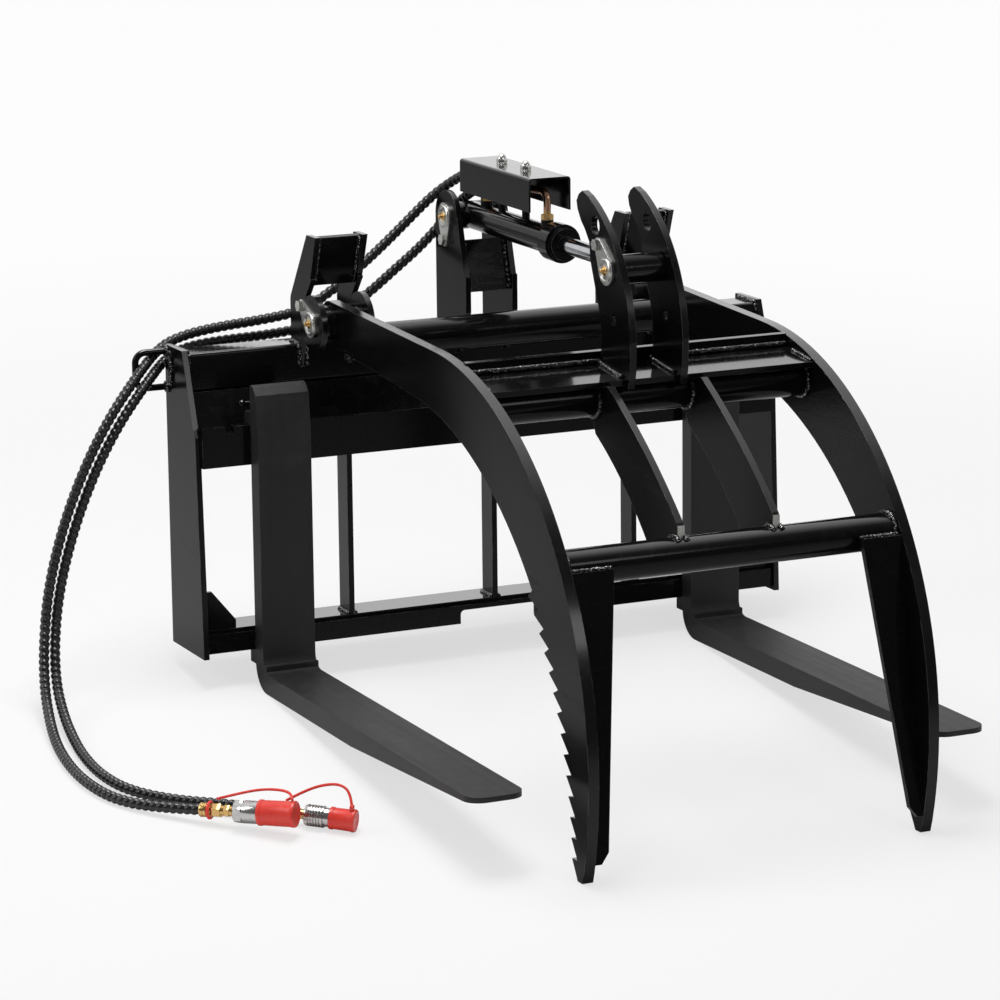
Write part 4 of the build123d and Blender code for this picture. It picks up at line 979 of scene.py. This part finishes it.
def coupling_tail(bm, at):
    """Crimped sleeve and two nuts."""
    lathe(bm, at, [(0, 0.01), (0, 11.0), (1.5, 12.0), (5, 12.0), (6, 11.1), (7, 11.9),
                   (12, 11.9), (13, 11.0), (14, 11.8), (19, 11.6), (20.5, 9.4),
                   (20.5, 0.01)])
    hexagon(bm, at, TAIL_HEX, 21, 37)
    lathe(bm, at, [(36, 0.01), (36, 8.6), (43.5, 8.6), (43.5, 0.01)])
    hexagon(bm, at, TAIL_NUT, 43, 52)
    lathe(bm, at, [(51, 0.01), (51, 8.2), (60.5, 8.2), (60.5, 0.01)])


def coupling_body(bm, at, kind, size):
    """Ringed sleeve of the plug, or the socket's plain sleeve with a hexagon."""
    if kind == "plug":
        profile = [(BODY_START, 0.01), (BODY_START, size - 4), (61.5, size - 1.5), (66, size)]
        for k in range(PLUG_RINGS):
            s = 68 + PLUG_RING_PITCH * k
            profile += [(s, size), (s + 0.6, size - 1.7), (s + 2.2, size - 1.7),
                        (s + 2.8, size)]
        profile += [(93, size), (94, size - 2.4), (104, size - 2.4)]
    else:
        profile = [(BODY_START, 0.01), (BODY_START, size - 4), (62, size - 1.2),
                   (77, size - 1.2), (79, size), (104, size)]
        hexagon(bm, at, 2 * size - 3.0, 62.5, 76, 0.8)
    lathe(bm, at, profile + [(BODY_END, size - 3.0), (BODY_END, 0.01)], 40)


def dust_cap(bm, at, kind, size, cap_r, cap_l):
    """Cap with a lip over the coupling and a rim round its closed end."""
    s0, s1 = BODY_END, BODY_END + cap_l
    lathe(bm, at, [(s0 + 6, 0.01), (s0 - 1.5, size + 0.2), (s0 - 2.0, cap_r - 1.2),
                   (s0 - 1, cap_r - 0.4), (s0 + 4, cap_r - 0.4), (s0 + 5, cap_r - 1.4),
                   (s1 - 8, cap_r - 0.8), (s1 - 6, cap_r), (s1 - 2.6, cap_r),
                   (s1 - 0.7, cap_r - 0.8), (s1, cap_r - 2.8), (s1 - 0.4, cap_r - 5.0),
                   (s1 - 0.9, cap_r - 6.0), (s1 - 0.9, 0.01)], 48)
    if kind == "plug":
        block(bm, at, (9.0, 11.0, 7.0), (0, cap_r + 2.5, s1 - 8), 1.6)


class GRAPPLE_OT_couplings(bpy.types.Operator):
    """Crimped brass tails, steel quick couplings and red dust caps"""
    bl_idname = "grapple.couplings"
    bl_label = "Couplings"

    def execute(self, context):
        for c in COUPLINGS:
            at = coupling_place(c.route)
            bm = bmesh.new()
            coupling_tail(bm, at)
            finish_piece(bm, c.kind + "_tail", "frame", "brass")
            bm = bmesh.new()
            coupling_body(bm, at, c.kind, c.body_r)
            body = finish_piece(bm, c.kind + "_body", "frame", "turned steel")
            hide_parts(c.kind + "_coupling")
            bm = bmesh.new()
            dust_cap(bm, at, c.kind, c.body_r, c.cap_r, c.cap_l)
            cap = finish_piece(bm, c.kind + "_dust_cap", "frame", "red cap")
            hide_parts(c.kind + "_cap")
        return {"FINISHED"}


class GRAPPLE_OT_lanyards(bpy.types.Operator):
    """Red lanyards that tie each dust cap to its coupling"""
    bl_idname = "grapple.lanyards"
    bl_label = "Lanyards"

    def execute(self, context):
        radius = context.scene.grapple_sizes.lanyard_radius
        for c in COUPLINGS:
            at = coupling_place(c.route)
            ahead = at.to_3x3() @ Vector((0, 0, 1))
            across = Vector((0, 0, 1)).cross(ahead).normalized()
            end = BODY_END + c.cap_l
            # Along the coupling from the hose's end, across it and up, in millimetres.
            spots = [(end - 8, 0, c.cap_r + 2.7),
                     (end - 14, c.out * 0.5, c.cap_r + c.rise * 0.65 + 1),
                     (end - 34, c.out * 0.8, c.cap_r + c.rise),
                     (end - 68, c.out, c.cap_r + c.rise * 0.75),
                     (end - 100, c.out * 0.8, c.cap_r + c.rise * 0.3),
                     (24, c.out * 0.35, 16)]
            points = [Vector(c.route[-1]) + (ahead * s + across * a + Vector((0, 0, h))) / 1000
                      for s, a, h in spots]
            bm = bmesh.new()
            centres = ridged_tube(bm, points, radius, lambda angle, along: 0.0, 2, 14)
            cord = finish_piece(bm, c.kind + "_lanyard", "frame", "red lanyard",
                                sharp=3.2)
            if c.kind == "socket":
                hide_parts("cap_lanyards")
            bm = bmesh.new()
            lathe(bm, at, [(14.5, 12.3), (14.5, 14.4), (15.4, 15.4), (18.6, 15.4),
                           (19.5, 14.4), (19.5, 12.3), (14.5, 12.3)], 28)
            finish_piece(bm, c.kind + "_lanyard_ring", "frame", "red lanyard")
        return {"FINISHED"}


class GrappleSizes(bpy.types.PropertyGroup):
    """Sizes of what is added to the frame"""
    hose_radius: FloatProperty(
        name="Hose radius", description="Outside radius of a hose with its guard",
        default=0.0095, min=0.004, max=0.02, unit="LENGTH")
    guard_pitch: FloatProperty(
        name="Guard pitch", description="Distance from one turn of the guard to the next",
        default=0.0125, min=0.004, max=0.04, unit="LENGTH")
    guard_groove: FloatProperty(
        name="Guard groove", description="Depth of the groove between two turns",
        default=0.0024, min=0.0, max=0.004, unit="LENGTH")
    weld_radius: FloatProperty(
        name="Weld radius", description="Radius of a weld bead",
        default=0.0046, min=0.001, max=0.01, unit="LENGTH")
    lanyard_radius: FloatProperty(
        name="Lanyard radius", description="Radius of a cap's lanyard",
        default=0.0024, min=0.001, max=0.005, unit="LENGTH")


class GrappleColours(bpy.types.PropertyGroup):
    """Colours of the finishes"""
    paint: FloatVectorProperty(
        name="Paint", description="Gloss paint of the frame and grapple", subtype="COLOR",
        default=(0.0032, 0.0033, 0.0036), min=0.0, max=1.0)
    fork: FloatVectorProperty(
        name="Fork", description="Matte coating of the forks", subtype="COLOR",
        default=(0.017, 0.017, 0.0182), min=0.0, max=1.0)
    zinc: FloatVectorProperty(
        name="Zinc", description="Plating of pins, keepers and bolts", subtype="COLOR",
        default=(0.74, 0.74, 0.72), min=0.0, max=1.0)
    brass: FloatVectorProperty(
        name="Brass", description="Hose fittings and grease nipples", subtype="COLOR",
        default=(0.72, 0.50, 0.20), min=0.0, max=1.0)
    steel: FloatVectorProperty(
        name="Steel", description="Bodies of the couplings", subtype="COLOR",
        default=(0.66, 0.66, 0.65), min=0.0, max=1.0)
    copper: FloatVectorProperty(
        name="Copper", description="Bent tubes of the cylinder's fittings", subtype="COLOR",
        default=(0.62, 0.36, 0.24), min=0.0, max=1.0)
    chrome: FloatVectorProperty(
        name="Chrome", description="Cylinder rod", subtype="COLOR",
        default=(0.55, 0.56, 0.58), min=0.0, max=1.0)
    guard: FloatVectorProperty(
        name="Guard", description="Spiral guard of the hoses", subtype="COLOR",
        default=(0.0075, 0.0075, 0.0078), min=0.0, max=1.0)
    cap: FloatVectorProperty(
        name="Cap", description="Dust caps and lanyards", subtype="COLOR",
        default=(0.78, 0.045, 0.03), min=0.0, max=1.0)


class GRAPPLE_PT_panel(bpy.types.Panel):
    """Sizes, colours and the pieces they make"""
    bl_idname = "GRAPPLE_PT_panel"
    bl_label = "Pallet Fork Grapple"
    bl_space_type = "VIEW_3D"
    bl_region_type = "UI"
    bl_category = "Grapple"

    def draw(self, context):
        layout = self.layout
        for group in (context.scene.grapple_sizes, context.scene.grapple_colours):
            column = layout.column()
            for name in group.__annotations__:
                column.prop(group, name)
        for operator in STEPS:
            layout.operator(operator.bl_idname)


STEPS = (GRAPPLE_OT_stage, GRAPPLE_OT_finishes, GRAPPLE_OT_couplings, GRAPPLE_OT_lanyards,
         GRAPPLE_OT_loose_hoses, GRAPPLE_OT_cylinder_hoses, GRAPPLE_OT_pin_ends,
         GRAPPLE_OT_cover_nuts, GRAPPLE_OT_welds)
CLASSES = (GrappleSizes, GrappleColours, *STEPS, GRAPPLE_PT_panel)


def register():
    for cls in CLASSES:
        bpy.utils.register_class(cls)
    bpy.types.Scene.grapple_sizes = PointerProperty(type=GrappleSizes)
    bpy.types.Scene.grapple_colours = PointerProperty(type=GrappleColours)


def unregister():
    del bpy.types.Scene.grapple_colours
    del bpy.types.Scene.grapple_sizes
    for cls in reversed(CLASSES):
        bpy.utils.unregister_class(cls)


def main():
    register()
    bpy.ops.grapple.stage()
    bpy.ops.grapple.finishes()
    bpy.ops.grapple.couplings()
    bpy.ops.grapple.lanyards()
    bpy.ops.grapple.loose_hoses()
    bpy.ops.grapple.cylinder_hoses()
    bpy.ops.grapple.pin_ends()
    bpy.ops.grapple.cover_nuts()
    bpy.ops.grapple.welds()


if __name__ == "__main__":
    main()
